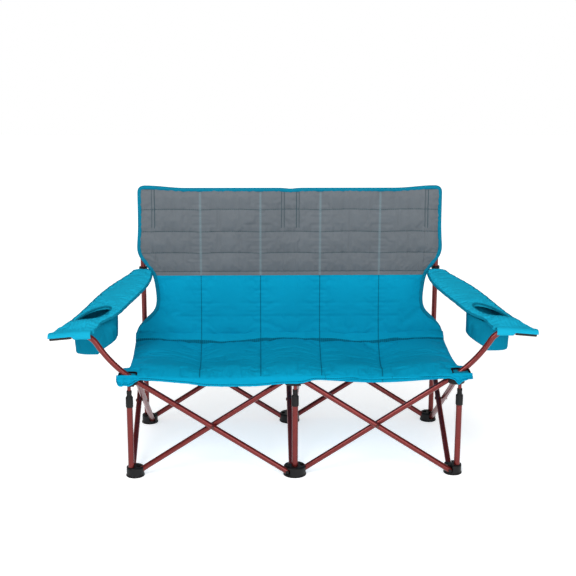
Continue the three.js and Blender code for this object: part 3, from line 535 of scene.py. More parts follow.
# %% Feet and hubs
turned_radii = {"centre": (0.031, 0.0325), "outer": (0.0245, 0.026)}
half_facet, near_enough = math.pi / 18, 2e-5
for node in [n for n in nodes if "_foot_" in n or "_hub_" in n]:
    side = {"left": -1, "centre": 0, "right": 1}[node.split("_")[-1]]
    inward = 1 if node.startswith("front") else -1
    row_y = 0.0 if node.startswith("front") else spacing
    centre = np.array([side * (spacing - side_plane), row_y + inward * (0.005 if side == 0 else 0.008)])
    copy = bmesh.new()
    copy.from_mesh(nodes[node].data)
    bmesh.ops.remove_doubles(copy, verts=copy.verts, dist=1e-5)
    bmesh.ops.dissolve_limit(copy, angle_limit=math.radians(1), verts=copy.verts, edges=copy.edges)
    bmesh.ops.triangulate(copy, faces=copy.faces)
    bmesh.ops.subdivide_edges(copy, edges=copy.edges, cuts=3, use_grid_fill=True)
    mesh = bpy.data.meshes.new(node + "_moulding")
    copy.to_mesh(mesh)
    copy.free()
    place = np.empty(len(mesh.vertices) * 3)
    mesh.vertices.foreach_get("co", place)
    place = place.reshape(-1, 3)
    arm = place[:, :2] - centre
    reach = np.linalg.norm(arm, axis=1)
    for radius in turned_radii["centre" if side == 0 else "outer"]:
        near = (reach > radius * math.cos(half_facet) - near_enough) & (reach < radius + near_enough)
        place[near, :2] = centre + arm[near] / reach[near, None] * radius
    mesh.vertices.foreach_set("co", place.ravel())
    in_place_of(node, as_object(node + "_moulding", mesh, black_moulding, 30))
print("mouldings made finer")

# %% [markdown]
# ## Woven cloth
# The cloth is a matt polyester: a plain weave of uneven threads a third of a millimetre wide,
# and a slow fade from panel to panel. Seams are drawn from a map of the distance to the
# nearest one, so a line stays thin however coarse the mesh is, and has its row of stitches.

# %% Cloth finish
def woven(name, base, shade, seam=None, weave=0.0007):
    """Cloth that reads its threads from the map "cloth", in metres, and its seams from the map
    "seams", where each axis holds the distance to the nearest seam line in metres. On the seat the
    second axis holds the distance to the crease instead, and its dark line there is painted shade."""
    sheen_tint = tuple(channel / max(base) for channel in base)
    material, tree, shader = new_material(name, {
        "Roughness": 0.82, "Sheen Weight": 0.02, "Sheen Roughness": 0.45, "Sheen Tint": sheen_tint,
        "Specular IOR Level": 0.02})
    stitch_length, stitch_half, gap_level = 0.006, 0.0011, -0.45
    groove_share, stitch_share, stitch_height = 0.55, 0.75, 1.5
    cloth = add_node(tree, "UVMap", uv_map="cloth")["UV"]
    axis = add_node(tree, "SeparateXYZ", {"Vector": cloth})
    waves = [calculated(tree, "SINE", product(tree, axis[k], 2 * math.pi / weave)) for k in (0, 1)]
    checks = product(tree, *waves)
    threads = []
    for stretch in ((900.0, 60.0, 1.0), (60.0, 900.0, 1.0)):
        along = add_node(tree, "Mapping", {"Vector": cloth, "Scale": stretch})["Vector"]
        threads.append(add_node(tree, "TexNoise", {"Vector": along, "Scale": 1.0, "Detail": 2})["Fac"])
    uneven = calculated(tree, "MULTIPLY_ADD", threads[0], 0.5, product(tree, threads[1], 0.5))
    place = add_node(tree, "TexCoord")["Object"]
    slow = add_node(tree, "TexNoise", {"Vector": place, "Scale": 7, "Detail": 3})["Fac"]
    drift = calculated(tree, "MULTIPLY_ADD", slow, 0.55, product(tree, uneven, 0.45))
    spread = add_node(tree, "MapRange", {"Value": drift, "From Min": 0.3, "From Max": 0.7})["Result"]
    colour = mixed(tree, spread, shade, base)
    height = calculated(tree, "MULTIPLY_ADD", checks, 0.25, product(tree, uneven, 0.8))
    if seam is not None:
        lines = add_node(tree, "UVMap", uv_map="seams")["UV"]
        off = add_node(tree, "SeparateXYZ", {"Vector": lines})
        for k, (thread, half) in reversed(list(enumerate(seam))):
            far = calculated(tree, "ABSOLUTE", off[k])
            groove = product(tree, calculated(tree, "LESS_THAN", far, half), groove_share)
            turn = product(tree, axis[1 - k], 2 * math.pi / stitch_length)
            run = calculated(tree, "GREATER_THAN", calculated(tree, "SINE", turn), gap_level)
            stitch = product(tree, calculated(tree, "LESS_THAN", far, stitch_half), run)
            colour = mixed(tree, groove, colour, thread)
            colour = mixed(tree, product(tree, stitch, stitch_share), colour, thread)
            height = calculated(tree, "MULTIPLY_ADD", stitch, stitch_height, height)
    raised = add_node(tree, "Bump", {"Height": height, "Strength": 0.35, "Distance": 0.0004})["Normal"]
    feed(tree, shader, {"Base Color": colour, "Normal": raised})
    return material


blue = (0.0016, 0.255, 0.420)
blue_deep = (0.0012, 0.222, 0.372)
grey = (0.123, 0.138, 0.152)
grey_deep = (0.103, 0.116, 0.128)
teal_thread = (0.138, 0.190, 0.212)
# the dark thread also draws the seat's crease line, which is painted shade
dark_thread_and_shade = (0.001, 0.075, 0.125)
blue_quilt = woven("blue_quilted_cloth", blue, blue_deep,
                   seam=((dark_thread_and_shade, 0.0012), (dark_thread_and_shade, 0.0010)))
grey_quilt = woven("grey_quilted_cloth", grey, grey_deep,
                   seam=((teal_thread, 0.0034), ((0.045, 0.070, 0.082), 0.0012)))
grey_cloth = woven("grey_plain_cloth", grey, grey_deep)
# dark blue tape of the bindings; the slot facings take it as painted shade, and the cup rims partly so
dark_tape_and_painted_shade = woven("blue_binding_tape_and_painted_shade", (0.004, 0.172, 0.270), (0.003, 0.140, 0.225), weave=0.0016)
# painted light: the armrests' cloth is the same blue, made lighter where it faces up to the lamps
lit_armrest_cloth = woven("blue_cloth_painted_lighter", (0.0080, 0.335, 0.505), (0.0060, 0.290, 0.450))
# painted shade: the pockets' cloth is the same blue, made darker for the shade in and under the cup holes
shaded_pocket_cloth = woven("blue_cloth_painted_shade", (0.002, 0.180, 0.290), (0.0015, 0.150, 0.245))
black_tape = woven("black_tape", (0.006, 0.006, 0.007), (0.004, 0.004, 0.005), weave=0.0016)
print("cloth finishes ready")

# %% [markdown]
# ## Inflating a quilted face
# A quilted pad is two cloths sewn together in cells over a thin foam. The face is simulated as
# cloth that is held at its seams and pushed out by a gentle pressure, which gives each cell
# its own swell and its own small puckers, as sewing does.

# %% Cloth under pressure
blown_frames = 20


def inflated(points, held, pressure, slack, most):
    """Cloth held at some points and blown outwards for a few frames. No point moves
    further than most."""
    scene = bpy.context.scene
    mesh = bpy.data.meshes.new("blown")
    mesh.from_pydata(points.reshape(-1, 3).tolist(), [], grid_faces(*held.shape).tolist())
    blown = bpy.data.objects.new("blown", mesh)
    scene.collection.objects.link(blown)
    group = blown.vertex_groups.new(name="held")
    group.add(np.flatnonzero(held.ravel()).tolist(), 1.0, "REPLACE")
    cloth = blown.modifiers.new("cloth", "CLOTH")
    settings = cloth.settings
    set_all(settings, quality=5, mass=0.02, tension_stiffness=15, compression_stiffness=15,
            shear_stiffness=5, bending_stiffness=0.08, vertex_group_mass="held", shrink_min=-slack,
            use_pressure=True, uniform_pressure_force=pressure)
    settings.effector_weights.gravity = 0
    cloth.collision_settings.use_collision = False
    for number in range(1, blown_frames + 1):
        scene.frame_set(number)
    result = blown.evaluated_get(bpy.context.evaluated_depsgraph_get())
    moved = np.empty(points.size)
    result.data.vertices.foreach_get("co", moved)
    bpy.data.objects.remove(blown)
    scene.frame_set(1)
    step = moved.reshape(points.shape) - points
    length = np.linalg.norm(step, axis=-1, keepdims=True)
    # soft limit: far moves close in on most without passing it
    return points + step * (most * np.tanh(length / most) / np.maximum(length, 1e-9))


def finer(*grids):
    """Twice as many rows and columns. Between neighbours b and c, with a before them and d
    after them, the new point is (9 (b + c) - a - d) / 16."""
    results = []
    for values in grids:
        for axis in (0, 1):
            values = np.moveaxis(values, axis, 0)
            longer = np.concatenate([2 * values[:1] - values[1:2], values, 2 * values[-1:] - values[-2:-1]])
            a, b, c, d = (longer[k:len(values) - 1 + k] for k in range(4))
            pairs = np.stack([b, (9 * (b + c) - a - d) / 16], 1).reshape(-1, *values.shape[1:])
            values = np.moveaxis(np.concatenate([pairs, values[-1:]]), 0, axis)
        results.append(values)
    return results


def pucker(along, off, length, depth, reach, seed):
    """Small folds that cross a seam and die out away from it: a sum of three waves along the
    seam, with phases from the seed, times exp(-off / reach)."""
    phase = np.random.default_rng(seed).uniform(0, 2 * math.pi, 3)
    wave = sum(np.sin(2 * math.pi * along / (length * k) + p) for k, p in zip((1.0, 0.63, 1.71), phase))
    return depth * wave / 2 * np.exp(-np.abs(off) / reach)


print("inflation ready, quick look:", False)

# %% [markdown]
# ## Quilting
# The seams split the cloth into cells. A place inside its cell gives the first swell, and the
# distance to the nearest seam goes into a map that the cloth finish reads for its stitches.

# %% Cells and seams
column_edges = np.array([-1, -0.6, -0.2, 0.2, 0.6, 1.0])


def stations(edges, steps, strip):
    """Even steps across each cell, with one more station on every inner seam and a strip that
    stays flat at both sides of it."""
    parts = []
    last = len(edges) - 2
    for k, (low, high) in enumerate(zip(edges[:-1], edges[1:])):
        parts.append(np.linspace(low + strip * (k > 0), high - strip * (k < last), steps[k] + 1))
        if k < last:
            parts.append([high])
    return np.concatenate(parts)


def cell_swell(place, edges, power=0.6):
    """sin(pi s)^power, where s is the place inside its cell from 0 to 1."""
    share = np.interp(place, edges, np.arange(len(edges))) % 1.0
    return np.sin(math.pi * share) ** power


def to_seam(place, edges):
    """Distance to the nearest inner edge."""
    return np.abs(np.asarray(place)[..., None] - edges[1:-1]).min(-1)


print("columns:", len(column_edges) - 1)

# %% [markdown]
# ## Back
# The back hangs from the three rear posts: a grey upper part in five columns and four rows,
# and a blue lower part that meets the seat. Its sides draw in at the waist, where the webbing
# of the armrests pulls. One bound edge runs up a side, over the top and down the other side.

# %% Back outline
back_outline = np.array([[0.294, 0.4845], [0.321, 0.4745], [0.351, 0.4480], [0.372, 0.4270], [0.395, 0.4180],
                         [0.430, 0.4180], [0.490, 0.4290], [0.519, 0.4500], [0.545, 0.4680], [0.5665, 0.4740],
                         [0.605, 0.4718], [0.645, 0.4696], [0.758, 0.4686]])
back_rows = np.array([0.4853, 0.498, 0.555, 0.622, 0.691, 0.757])
back_bottom = 0.2860
rear_plane, foot_ahead = 0.4495, 0.010
hem_depth, pad_depth = 0.0045, 0.0040   # thickness at the edge, and what the padding adds
foot_swell, foot_reach = 0.0115, 0.075  # the foot of the back leans out over the seat
flat_hem = 0.004                # held flat along every edge
corner_radius = 0.014
column_span = 0.4640            # half of five equal columns
sleeve_foot = 0.632             # lower end of the sleeves over the posts
sleeve_lines = np.array([-0.9033, -0.0496, 0.0496, 0.9033])   # where they are sewn on
stitch_pair = 0.0042            # each line of a pair of stitches, off their middle


def rear_face(z):
    """The lower edge of the back stands a little ahead of its upper part."""
    return rear_plane - foot_ahead * (1 - smooth((z - 0.2945) / 0.273))


def top_edge(u):
    """The top rises to the outer posts and dips a little at the middle one."""
    return 0.7570 + 0.0075 * smooth((np.abs(u) - 0.70) / 0.25) - 0.003 * np.exp(-(u / 0.035) ** 2)


def across_back(u, half):
    """The seams stay upright: only the two outer columns narrow and widen with the edge."""
    outer = np.clip((np.abs(u) - 0.6) / 0.4, 0, 1)
    middle = np.minimum(np.abs(u), 0.6) * column_span
    return np.sign(u) * (middle + outer * (half - 0.6 * column_span))


def back_point(u, z):
    """Place on the back: across to the edge at that height, with the two upper corners
    rounded. A square corner (a, b) maps onto a quarter circle as a sqrt(1 - b^2/2)."""
    half = curve_through(back_outline, z)[..., 0]
    above_seam = np.clip((z - back_rows[4]) / (back_rows[5] - back_rows[4]), 0, 1)
    z = z + above_seam * (top_edge(u) - back_rows[5])
    x = across_back(u, half)
    start_x, start_z = half - corner_radius, top_edge(u) - corner_radius
    a = np.clip((np.abs(x) - start_x) / corner_radius, 0, 1)
    b = np.clip((z - start_z) / corner_radius, 0, 1)
    inside = (a > 0) & (b > 0)
    x = np.where(inside, np.sign(x) * (start_x + corner_radius * a * np.sqrt(1 - b * b / 2)), x)
    z = np.where(inside, start_z + corner_radius * b * np.sqrt(1 - a * a / 2), z)
    return x, z


def back_part(heights, row_edges, strip, high_swell, flat_to, slack, seed):
    """Front and rear layers of one part of the back, and its two maps. A strip beside each
    seam stays flat, and so does all below the height flat_to."""
    beside = stitch_pair / column_span
    u = np.sort(np.concatenate([stations(column_edges, [24] * 5, strip), sleeve_lines, sleeve_lines - beside,
                                sleeve_lines + beside]))
    u, z = np.meshgrid(u, heights)
    x, up = back_point(u, z)
    half = curve_through(back_outline, z)[..., 0]
    edge_off = np.minimum((1 - np.abs(u)) * half, np.maximum(back_rows[5] - z, 0))
    across = to_seam(u, column_edges) * column_span
    along = to_seam(z, row_edges) if len(row_edges) > 2 else np.full_like(z, 1.0)
    to_sleeve = np.abs(u[..., None] - sleeve_lines).min(-1) * column_span + np.maximum(sleeve_foot - z, 0)
    swell = cell_swell(u, column_edges) * cell_swell(z, row_edges) * (z > flat_to)
    swell = swell * (1 - 0.75 * np.exp(-(to_sleeve / 0.007) ** 2))
    between = (z > row_edges[0] + 0.02) & (z < row_edges[-1] - 0.02)
    up = up + 0.0022 * cell_swell(u, column_edges, 1.0) * between
    depth = hem_depth + pad_depth * smooth(edge_off / 0.03)
    foot_share = 1 - smooth((z - back_bottom) / foot_reach)
    depth = depth + foot_swell * foot_share * smooth(edge_off / 0.012 + 0.3)
    depth = depth + pucker(z, across, 0.021, 0.0013, 0.022, seed) * smooth(edge_off / 0.03)
    has_rows = len(row_edges) > 2
    depth = depth + pucker(x, along, 0.017, 0.0016, 0.014, seed + 1) * has_rows * smooth(edge_off / 0.03)
    start = 0.25 * high_swell
    front = np.stack([x, rear_face(z) - depth - start * swell, up], -1)
    held = (across <= strip * column_span + 1e-4) | (along <= 5e-4) | (edge_off < flat_hem) | (z <= flat_to)
    held |= to_sleeve < stitch_pair + 0.0005
    held[0] = held[-1] = True
    front = inflated(front, held, 160 * slack, slack, high_swell)
    return finer(front, np.stack([x, rear_face(z), up], -1), np.stack([x, up], -1),
                 np.stack([across, np.minimum(along, np.abs(to_sleeve - stitch_pair))], -1))


print("back outline:", len(back_outline), "heights")

# %% [markdown]
# Both parts are blown from a coarse grid, made finer and closed with a smooth rear layer.

# %% Back cloth
upper_heights = stations(back_rows, [2, 9, 10, 10, 10], 0.0022)
lower_heights = np.linspace(back_bottom, 0.4849, 30)
for name, node, finish, slot, fill, part in (
        ("back_upper_quilt", "back_pad_upper", grey_quilt, "grey_cloth", 0.55,
         back_part(upper_heights, back_rows, 0.0105, 0.0125, 0.498, 0.025, 3)),
        ("back_lower_quilt", "back_pad_lower", blue_quilt, "blue_cloth", 0.5,
         back_part(lower_heights, lower_heights[[0, -1]], 0.006, 0.0095, 0, 0.010, 5))):
    maps = {"cloth": part[2], "seams": part[3]}
    made = in_place_of(node, layered(name, part[:2], finish, maps, 70))
    crumple_sideways(made)
    print(name, len(made.data.polygons), "faces")

# %% [markdown]
# The binding is an oval carried along the outline, which is first evened out and softened.

# %% Bound edge of the back
def evenly(path, step):
    """The same line with points at even steps along it."""
    run = run_along(path)
    places = np.linspace(0, run[-1], max(int(run[-1] / step), 4) + 1)
    return np.stack([np.interp(places, run, path[:, k]) for k in range(path.shape[1])], -1)


def softened(path, times=3):
    """Each inner point moves to the mean of itself and its two neighbours."""
    for _ in range(times):
        path[1:-1] = (path[:-2] + path[1:-1] + path[2:]) / 3
    return path


def bound_edge(name, path, half_width, half_thickness, across, finish, body,
               ripple=0.0, seed=1, count=20):
    """Tape folded over an edge: an oval carried along the edge, with ripples where it gathers."""
    path = softened(evenly(path, 0.003))
    offset = tube_points(path, 1.0, count, across, domed=False) - path[:, None]
    run = run_along(path)
    angle = np.linspace(0, 2 * math.pi, count, endpoint=False)
    thin, wide = np.cos(angle)[None, :, None], np.sin(angle)[None, :, None]
    side_axis = (offset * thin).sum(1, keepdims=True) / (thin ** 2).sum()
    wide_axis = (offset * wide).sum(1, keepdims=True) / (wide ** 2).sum()
    phase = np.random.default_rng(seed).uniform(0, 2 * math.pi, 4)
    wave = 1 + ripple * sum(np.sin(2 * math.pi * run / length + p)
                            for length, p in zip((0.011, 0.017, 0.031, 0.007), phase))[:, None, None]
    ends = np.ones((len(path), 1, 1))
    ends[0] = ends[-1] = 0.6
    form = path[:, None] + ends * (wave * half_thickness * rounded(thin, 0.7) * side_axis
                                   + half_width * rounded(wide, 0.9) * wide_axis)
    form = np.concatenate([np.repeat(path[:1, None], count, 1), form, np.repeat(path[-1:, None], count, 1)])
    run = np.pad(run, 1, mode="edge")
    cloth = grid_of(run[:, None], (angle * half_width)[None])
    made = ringed(name, form, finish, {"cloth": cloth}, crease=60)
    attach(made, body)
    return made


z_side = np.linspace(back_bottom + 0.004, back_rows[5], 150)
u_top = np.linspace(-1, 1, 320)[1:-1]
u_line = np.concatenate([-np.ones(150), u_top, np.ones(150)])
z_line = np.concatenate([z_side, np.full(len(u_top), back_rows[5]), z_side[::-1]])
x_line, up_line = back_point(u_line, z_line)
line = softened(evenly(np.stack([x_line, rear_face(z_line) - 0.0028, up_line], -1), 0.003))
along_line = np.gradient(line, axis=0)
outward = np.cross(along_line, (0, 1, 0))
outward /= np.linalg.norm(outward, axis=1, keepdims=True)
binding_inset, binding_half_width, binding_half_thickness = 0.0042, 0.0062, 0.0066
binding = bound_edge("back_bound_edge", line - binding_inset * outward, binding_half_width,
                     binding_half_thickness, (0, 1, 0), dark_tape_and_painted_shade, "rear_centre_post", ripple=0.035, seed=8)
crumple_sideways(binding)
print("bound edge:", round(float(run_along(line)[-1]), 3), "m")

# %% [markdown]
# ## Sleeves over the rear posts
# A short grey sleeve sewn on the rear of the back slips over each post and hides its cap. In
# plan it is an arch behind the post with a flat allowance sewn down on either side.

# %% Sleeves
sleeve_closing, sleeve_top = 0.7406, 0.7520
sleeve_outer, sleeve_inner = 0.0099, 0.0088
sewn_plane = -0.0098            # where the allowances lie on the back, from the post's axis


def arch(radius, side, count=25):
    """Plan of a sleeve: flat allowance, side, half circle, side, flat allowance. At an outer
    post the outer allowance goes straight down to the bound edge."""
    turn = np.linspace(math.pi, 0, count)
    ring = np.stack([radius * np.cos(turn), radius * np.sin(turn)], -1)
    foot_y = sewn_plane + (sleeve_outer - radius)
    flare = np.array([[-0.0215, foot_y], [-0.0150, foot_y], [-radius - 0.0012, foot_y + 0.0003],
                      [-radius - 0.0002, foot_y + 0.002], [-radius, foot_y + 0.005]])
    straight_down = np.stack([np.full(5, -radius), foot_y + np.linspace(0, 0.005, 5)], -1)
    left = straight_down if side < 0 else flare
    right_half = straight_down if side > 0 else flare
    return np.concatenate([left, ring, right_half[::-1] * (-1, 1)])


for side, name in sides_of.items():
    z = np.concatenate([np.linspace(sleeve_foot, sleeve_closing, 42),
                        np.linspace(sleeve_closing, sleeve_top, 9)[1:]])
    closed_share = ((z - sleeve_closing) / (sleeve_top - sleeve_closing)).clip(0, 1)
    close = np.sqrt(np.clip(1 - closed_share ** 2, 0.002, 1))
    layers = []
    for radius in (sleeve_outer, sleeve_inner):
        plan = arch(radius, side)
        depth = (plan[:, 1] - plan[0, 1])[None] * close[:, None] + plan[0, 1]
        ripple = np.outer(0.0004 * np.sin(z * 210 + 2 * side), np.sin(np.linspace(0, math.pi, len(plan))))
        x = side * spacing + plan[:, 0] + ripple
        layers.append(grid_of(x, spacing + depth, z[:, None]))
    cloth = grid_of(np.linspace(0, 0.07, len(plan))[None], z[:, None])
    sleeve = layered(f"back_sleeve_{name}", layers, grey_cloth, {"cloth": cloth}, 60)
    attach(sleeve, f"rear_{name}_post")
print("sleeves sewn")

# %% [markdown]
# ## Seat
# One quilted cloth lies on the six hubs and sags between them. It is inflated whole, and then
# parted at its fold line, so that each half can turn with its own half of the frame. The arm
# tubes come up through a slot in each front corner.

# %% Seat sizes
seat_front, seat_rear, seat_fold = -0.0190, 0.4215, 0.212
front_roll = 0.006              # how far the front edge rolls down
seat_plan = np.array([[0, 1], [0.07, 0.995], [0.16, 0.955], [0.36, 0.956], [0.70, 0.972], [1, 0.99]])
seat_half_width = 0.489
slot_sides = (0.4375, 0.4845)
slot_rear = {-1: 0.0025, 1: 0.0190}
crease_y = 0.3870               # where the seat meets the foot of the back
crease_from, crease_to = 0.371, 0.399
seat_top, hub_edge = 0.306, 0.4745
front_narrowing = 0.044         # the columns draw together towards the front,
front_shift = 0.0115            # and lie a little to the left there
seat_swell = 0.0125             # most that a cell swells
pad_thick, bay_thick, thickest = 0.0125, 0.005, 0.0185
half_fold_gap = 0.0006
sag_from, sag_to = 0.036, 0.422


def seat_base(x, y):
    """Top of the cloth at its seams: it sags between hubs and drops a little to the rear,
    where the back draws its edge up again."""
    depth_share = np.clip((y - sag_from) / (sag_to - sag_from), 0, 1)
    belly = np.sin(math.pi * depth_share)
    bay = np.sin(math.pi * x / spacing) ** 2
    beyond = np.clip((np.abs(x) - hub_edge) / (seat_half_width - hub_edge), 0, 1)
    sag = 0.022 * bay * (0.25 + 0.75 * belly) + 0.012 * belly + 0.006 * depth_share + 0.002 * beyond ** 2
    rolled = np.clip(1 - (y - seat_front) / 0.026, 0, 1) ** 2
    drop = 0.006 * smooth((y - 0.27) / 0.11)
    climb = 0.0060 * smooth((y - crease_y) / 0.007) + 0.0100 * smooth((y - crease_y) / 0.034)
    return seat_top - sag - front_roll * rolled - drop + climb


print("seat:", round(seat_rear - seat_front, 3), "m deep")

# %% [markdown]
# The grid has a line on every seam, at the slots and along the fold, so that nothing has to be
# cut later. The swell of the cells and the small rucks beside the seams are added to its height.

# %% Seat cloth
u = stations(column_edges, [24] * 5, 0.006)
slot_places = np.array(slot_sides) / seat_half_width
u = np.sort(np.concatenate([u, -slot_places, slot_places]))
y_rows = np.concatenate([np.linspace(seat_front, slot_rear[-1], 6), [0.0135], [slot_rear[1]],
                         np.linspace(slot_rear[1], seat_fold, 28)[1:],
                         np.linspace(seat_fold, crease_from, 23)[1:],
                         np.linspace(crease_from, crease_to, 15)[1:],
                         np.linspace(crease_to, seat_rear, 6)[1:]])
fold_row = int(np.argmin(np.abs(y_rows - seat_fold)))
u, y = np.meshgrid(u, y_rows)
half = seat_half_width * curve_through(seat_plan, (y - seat_front) / (seat_rear - seat_front))[..., 0]
square = smooth((y - 0.03) / 0.03)
half_here = half * square + seat_half_width * (1 - square)
ahead_share = (seat_rear - y) / (seat_rear - seat_front)
span = column_span - front_narrowing * ahead_share
outer = np.clip((np.abs(u) - 0.6) / 0.4, 0, 1)
x = np.sign(u) * (np.minimum(np.abs(u), 0.6) * span + outer * (half_here - 0.6 * span))
x = x - front_shift * ahead_share * (1 - outer)
across = to_seam(u, column_edges) * span
side_off, front_off = (1 - np.abs(u)) * half, y - seat_front
free_off = np.minimum(side_off, front_off)
edge_off = np.minimum(free_off, seat_rear - y)
near_slot = (np.abs(x) > 0.425) & (y < 0.030)
wander = pucker(x, 0 * x, 0.083, 0.0040, 1.0, 14) - 0.0045 * cell_swell(u, column_edges, 1.0)
behind = y - crease_y + wander                # behind the crease, which wanders a little
swell = cell_swell(u, column_edges) * smooth(free_off / 0.05) * smooth(-behind / 0.028) * ~near_slot
ruck = pucker(y, across, 0.024, 0.0011, 0.025, 11) * smooth(edge_off / 0.04)
ruck = ruck + pucker(x, front_off, 0.019, 0.0022, 0.020, 12) * smooth(front_off / 0.012) * ~near_slot
ruck = ruck - 0.0042 * np.exp(-(behind / 0.0045) ** 2)
level = seat_base(x, y + wander * smooth((y - 0.33) / 0.03)) - 0.003 * (1 - smooth(side_off / 0.012)) + ruck
top_layer = np.stack([x, y, level + swell * ((0.25 * seat_swell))], -1)
held = (across < 0.0035) | (edge_off < flat_hem) | near_slot | (behind > -0.006)
top_layer = inflated(top_layer, held, 4.0, 0.03, seat_swell)
thick = pad_thick + bay_thick * np.sin(math.pi * x / spacing) ** 2
slot_edge = smooth((np.abs(x) - 0.420) / 0.012) * (1 - smooth((y - np.where(x < 0, 0.010, 0.022)) / 0.018))
thick = thick * (1 - 0.72 * slot_edge)
under = np.maximum(seat_base(x, y) - thick, level - thickest)
low_layer = np.stack([x, y, under], -1)
cloth = np.stack([x, y], -1)
# painted shade: a dark line in the seam thread's colour, with its stitches, drawn along the crease where the
# seat meets the back
shadow_line = np.abs(behind - 0.0020) * (0.42 + 0.16 * np.sin(x * 31 + 1))
seams = np.stack([across, shadow_line], -1)
top_layer, low_layer, cloth, seams = finer(top_layer, low_layer, cloth, seams)
fold_row *= 2
print("seat grid:", len(cloth), "rows of", cloth.shape[1])

# %% [markdown]
# The seat is parted at its fold line, and the faces inside the two slots are left out.

# %% Seat halves
for name, node, half_rows, inner_row, part in (
        ("seat_front_quilt", "seat_pad_front", slice(0, fold_row + 1), -1, -half_fold_gap),
        ("seat_rear_quilt", "seat_pad_rear", slice(fold_row, None), 0, half_fold_gap)):
    upper, lower = top_layer[half_rows], low_layer[half_rows].copy()
    lower[inner_row, :, 1] += part
    faces = grid_faces(*upper.shape[:2])
    middle = cloth[half_rows].reshape(-1, 2)[faces].mean(1)
    rear_of_slot = np.where(middle[:, 0] < 0, slot_rear[-1], slot_rear[1])
    in_slot = (np.abs(middle[:, 0]) > slot_sides[0]) & (np.abs(middle[:, 0]) < slot_sides[1])
    faces = faces[~(in_slot & (middle[:, 1] < rear_of_slot))]
    maps = {"cloth": cloth[half_rows], "seams": seams[half_rows]}
    made = in_place_of(node, layered(name, (upper, lower), blue_quilt, maps, 70, faces))
    crumple_sideways(made)
    print(name, len(made.data.polygons), "faces")

# %% [markdown]
# ## Slot edges
# Black tape binds each slot, and a strip of cloth behind it closes the gap round the tube. The
# strip takes the darker tape colour as painted shade in the slot.

# %% Slot edges
tape_drop, facing_drop, facing_thick = 0.0020, 0.0040, 0.0012
for side in (-1, 1):
    front_y, back_y = seat_front + 0.002, slot_rear[side] + 0.0005
    a, b = slot_sides[0] - 0.0005, slot_sides[1] + 0.0005
    corners_here = np.array([[a, front_y], [a, back_y - 0.003], [a + 0.003, back_y], [b - 0.003, back_y],
                             [b, back_y - 0.003], [b, front_y]])
    route = evenly(np.column_stack([side * corners_here[:, 0], corners_here[:, 1], np.zeros(6)]), 0.002)
    route[:, 2] = seat_base(route[:, 0], route[:, 1]) - tape_drop
    tape = bound_edge(f"seat_slot_{sides_of[side]}_tape", route, 0.0026, 0.0030, (0, 0, 1), black_tape,
                      "seat_front_half", seed=61)
    out, back = np.meshgrid(np.linspace(a - 0.003, b - 0.001, 12), np.linspace(front_y, back_y + 0.006, 6))
    facing_z = seat_base(side * out, back) - facing_drop
    layers = [np.stack([side * out, back, facing_z - drop], -1) for drop in (0.0, facing_thick)]
    # the facing is cloth given the darker tape colour as painted shade in the slot
    facing = layered(f"seat_slot_{sides_of[side]}_facing", layers, dark_tape_and_painted_shade,
                     {"cloth": np.stack([out, back], -1)}, 50)
    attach(facing, "seat_front_half")
    crumple_sideways(tape)
    crumple_sideways(facing)
print("slots bound")

# %% [markdown]
# ## Front band
# A separate strip is sewn along the front edge, folded over it and hung in front of the hubs.
# It hangs lowest near the middle of each bay, and its corners wrap the outer hubs as tabs.

# %% Band
hem = np.array([[-0.4915, 0.2900], [-0.4870, 0.2775], [-0.4780, 0.2728], [-0.4680, 0.2756], [-0.4580, 0.2730],
                [-0.4480, 0.2780], [-0.4380, 0.2855], [-0.4210, 0.2905], [-0.3560, 0.2840],
                [-0.2930, 0.2780], [-0.2460, 0.2710], [-0.1120, 0.2700],
                [-0.0400, 0.2760], [0.0180, 0.2780], [0.0510, 0.2860], [0.1140, 0.2860], [0.1780, 0.2910],
                [0.2440, 0.2940], [0.3100, 0.2945], [0.4000, 0.2900], [0.4380, 0.2860], [0.4520, 0.2725],
                [0.4620, 0.2810], [0.4780, 0.2865], [0.4900, 0.2890]])
x = np.unique(np.concatenate([np.linspace(-0.4915, 0.490, 300), np.linspace(-0.4915, -0.44, 30),
                              np.linspace(0.435, 0.490, 30)]))
drop = np.linspace(0, 1, 15)
at_slot = smooth((np.abs(x) - 0.4300) / 0.008)
top_z = seat_base(x, np.full_like(x, seat_front)) * (1 - at_slot) + 0.3030 * at_slot
hem_z = curve_through(hem, x)[..., 0]
turn_start, roll_outer = math.radians(25), 0.0070
turn = np.linspace(turn_start, math.pi / 2, 7)


def band_layer(radius):
    """Over the seat's edge on a circle, from the slope of the seat to straight down, and on to
    the hem, with a slight belly and folds that grow towards the hem."""
    middle_y = seat_front + roll_outer * math.sin(turn_start)
    middle_z = top_z - roll_outer * math.cos(turn_start)
    over_y = np.minimum(middle_y - radius * np.sin(turn), seat_front - 0.0002 * (radius < roll_outer))
    over_z = radius * np.cos(turn)
    fall = (middle_z - hem_z)[None] * drop[1:, None]
    belly = 0.0014 * np.sin(math.pi * drop[1:])[:, None]
    folds = pucker(x, 0 * x, 0.041, 0.0016, 1.0, 21)[None] * drop[1:, None]
    lumps = 1 + 0.30 * np.sin(x / 0.0031 + 1) + 0.20 * np.sin(x / 0.0017)
    curl = np.abs(np.sin(1.65 * math.pi * drop[1:]))[:, None] ** 0.8
    rolled_corner = 0.0052 * (at_slot * lumps)[None] * curl
    y_fall = middle_y - radius - belly - np.abs(folds) - rolled_corner
    ys = np.concatenate([over_y[:, None] + 0 * x[None], y_fall])
    zs = np.concatenate([middle_z[None] + over_z[:, None], middle_z[None] - fall])
    return grid_of(x[None], ys, zs)


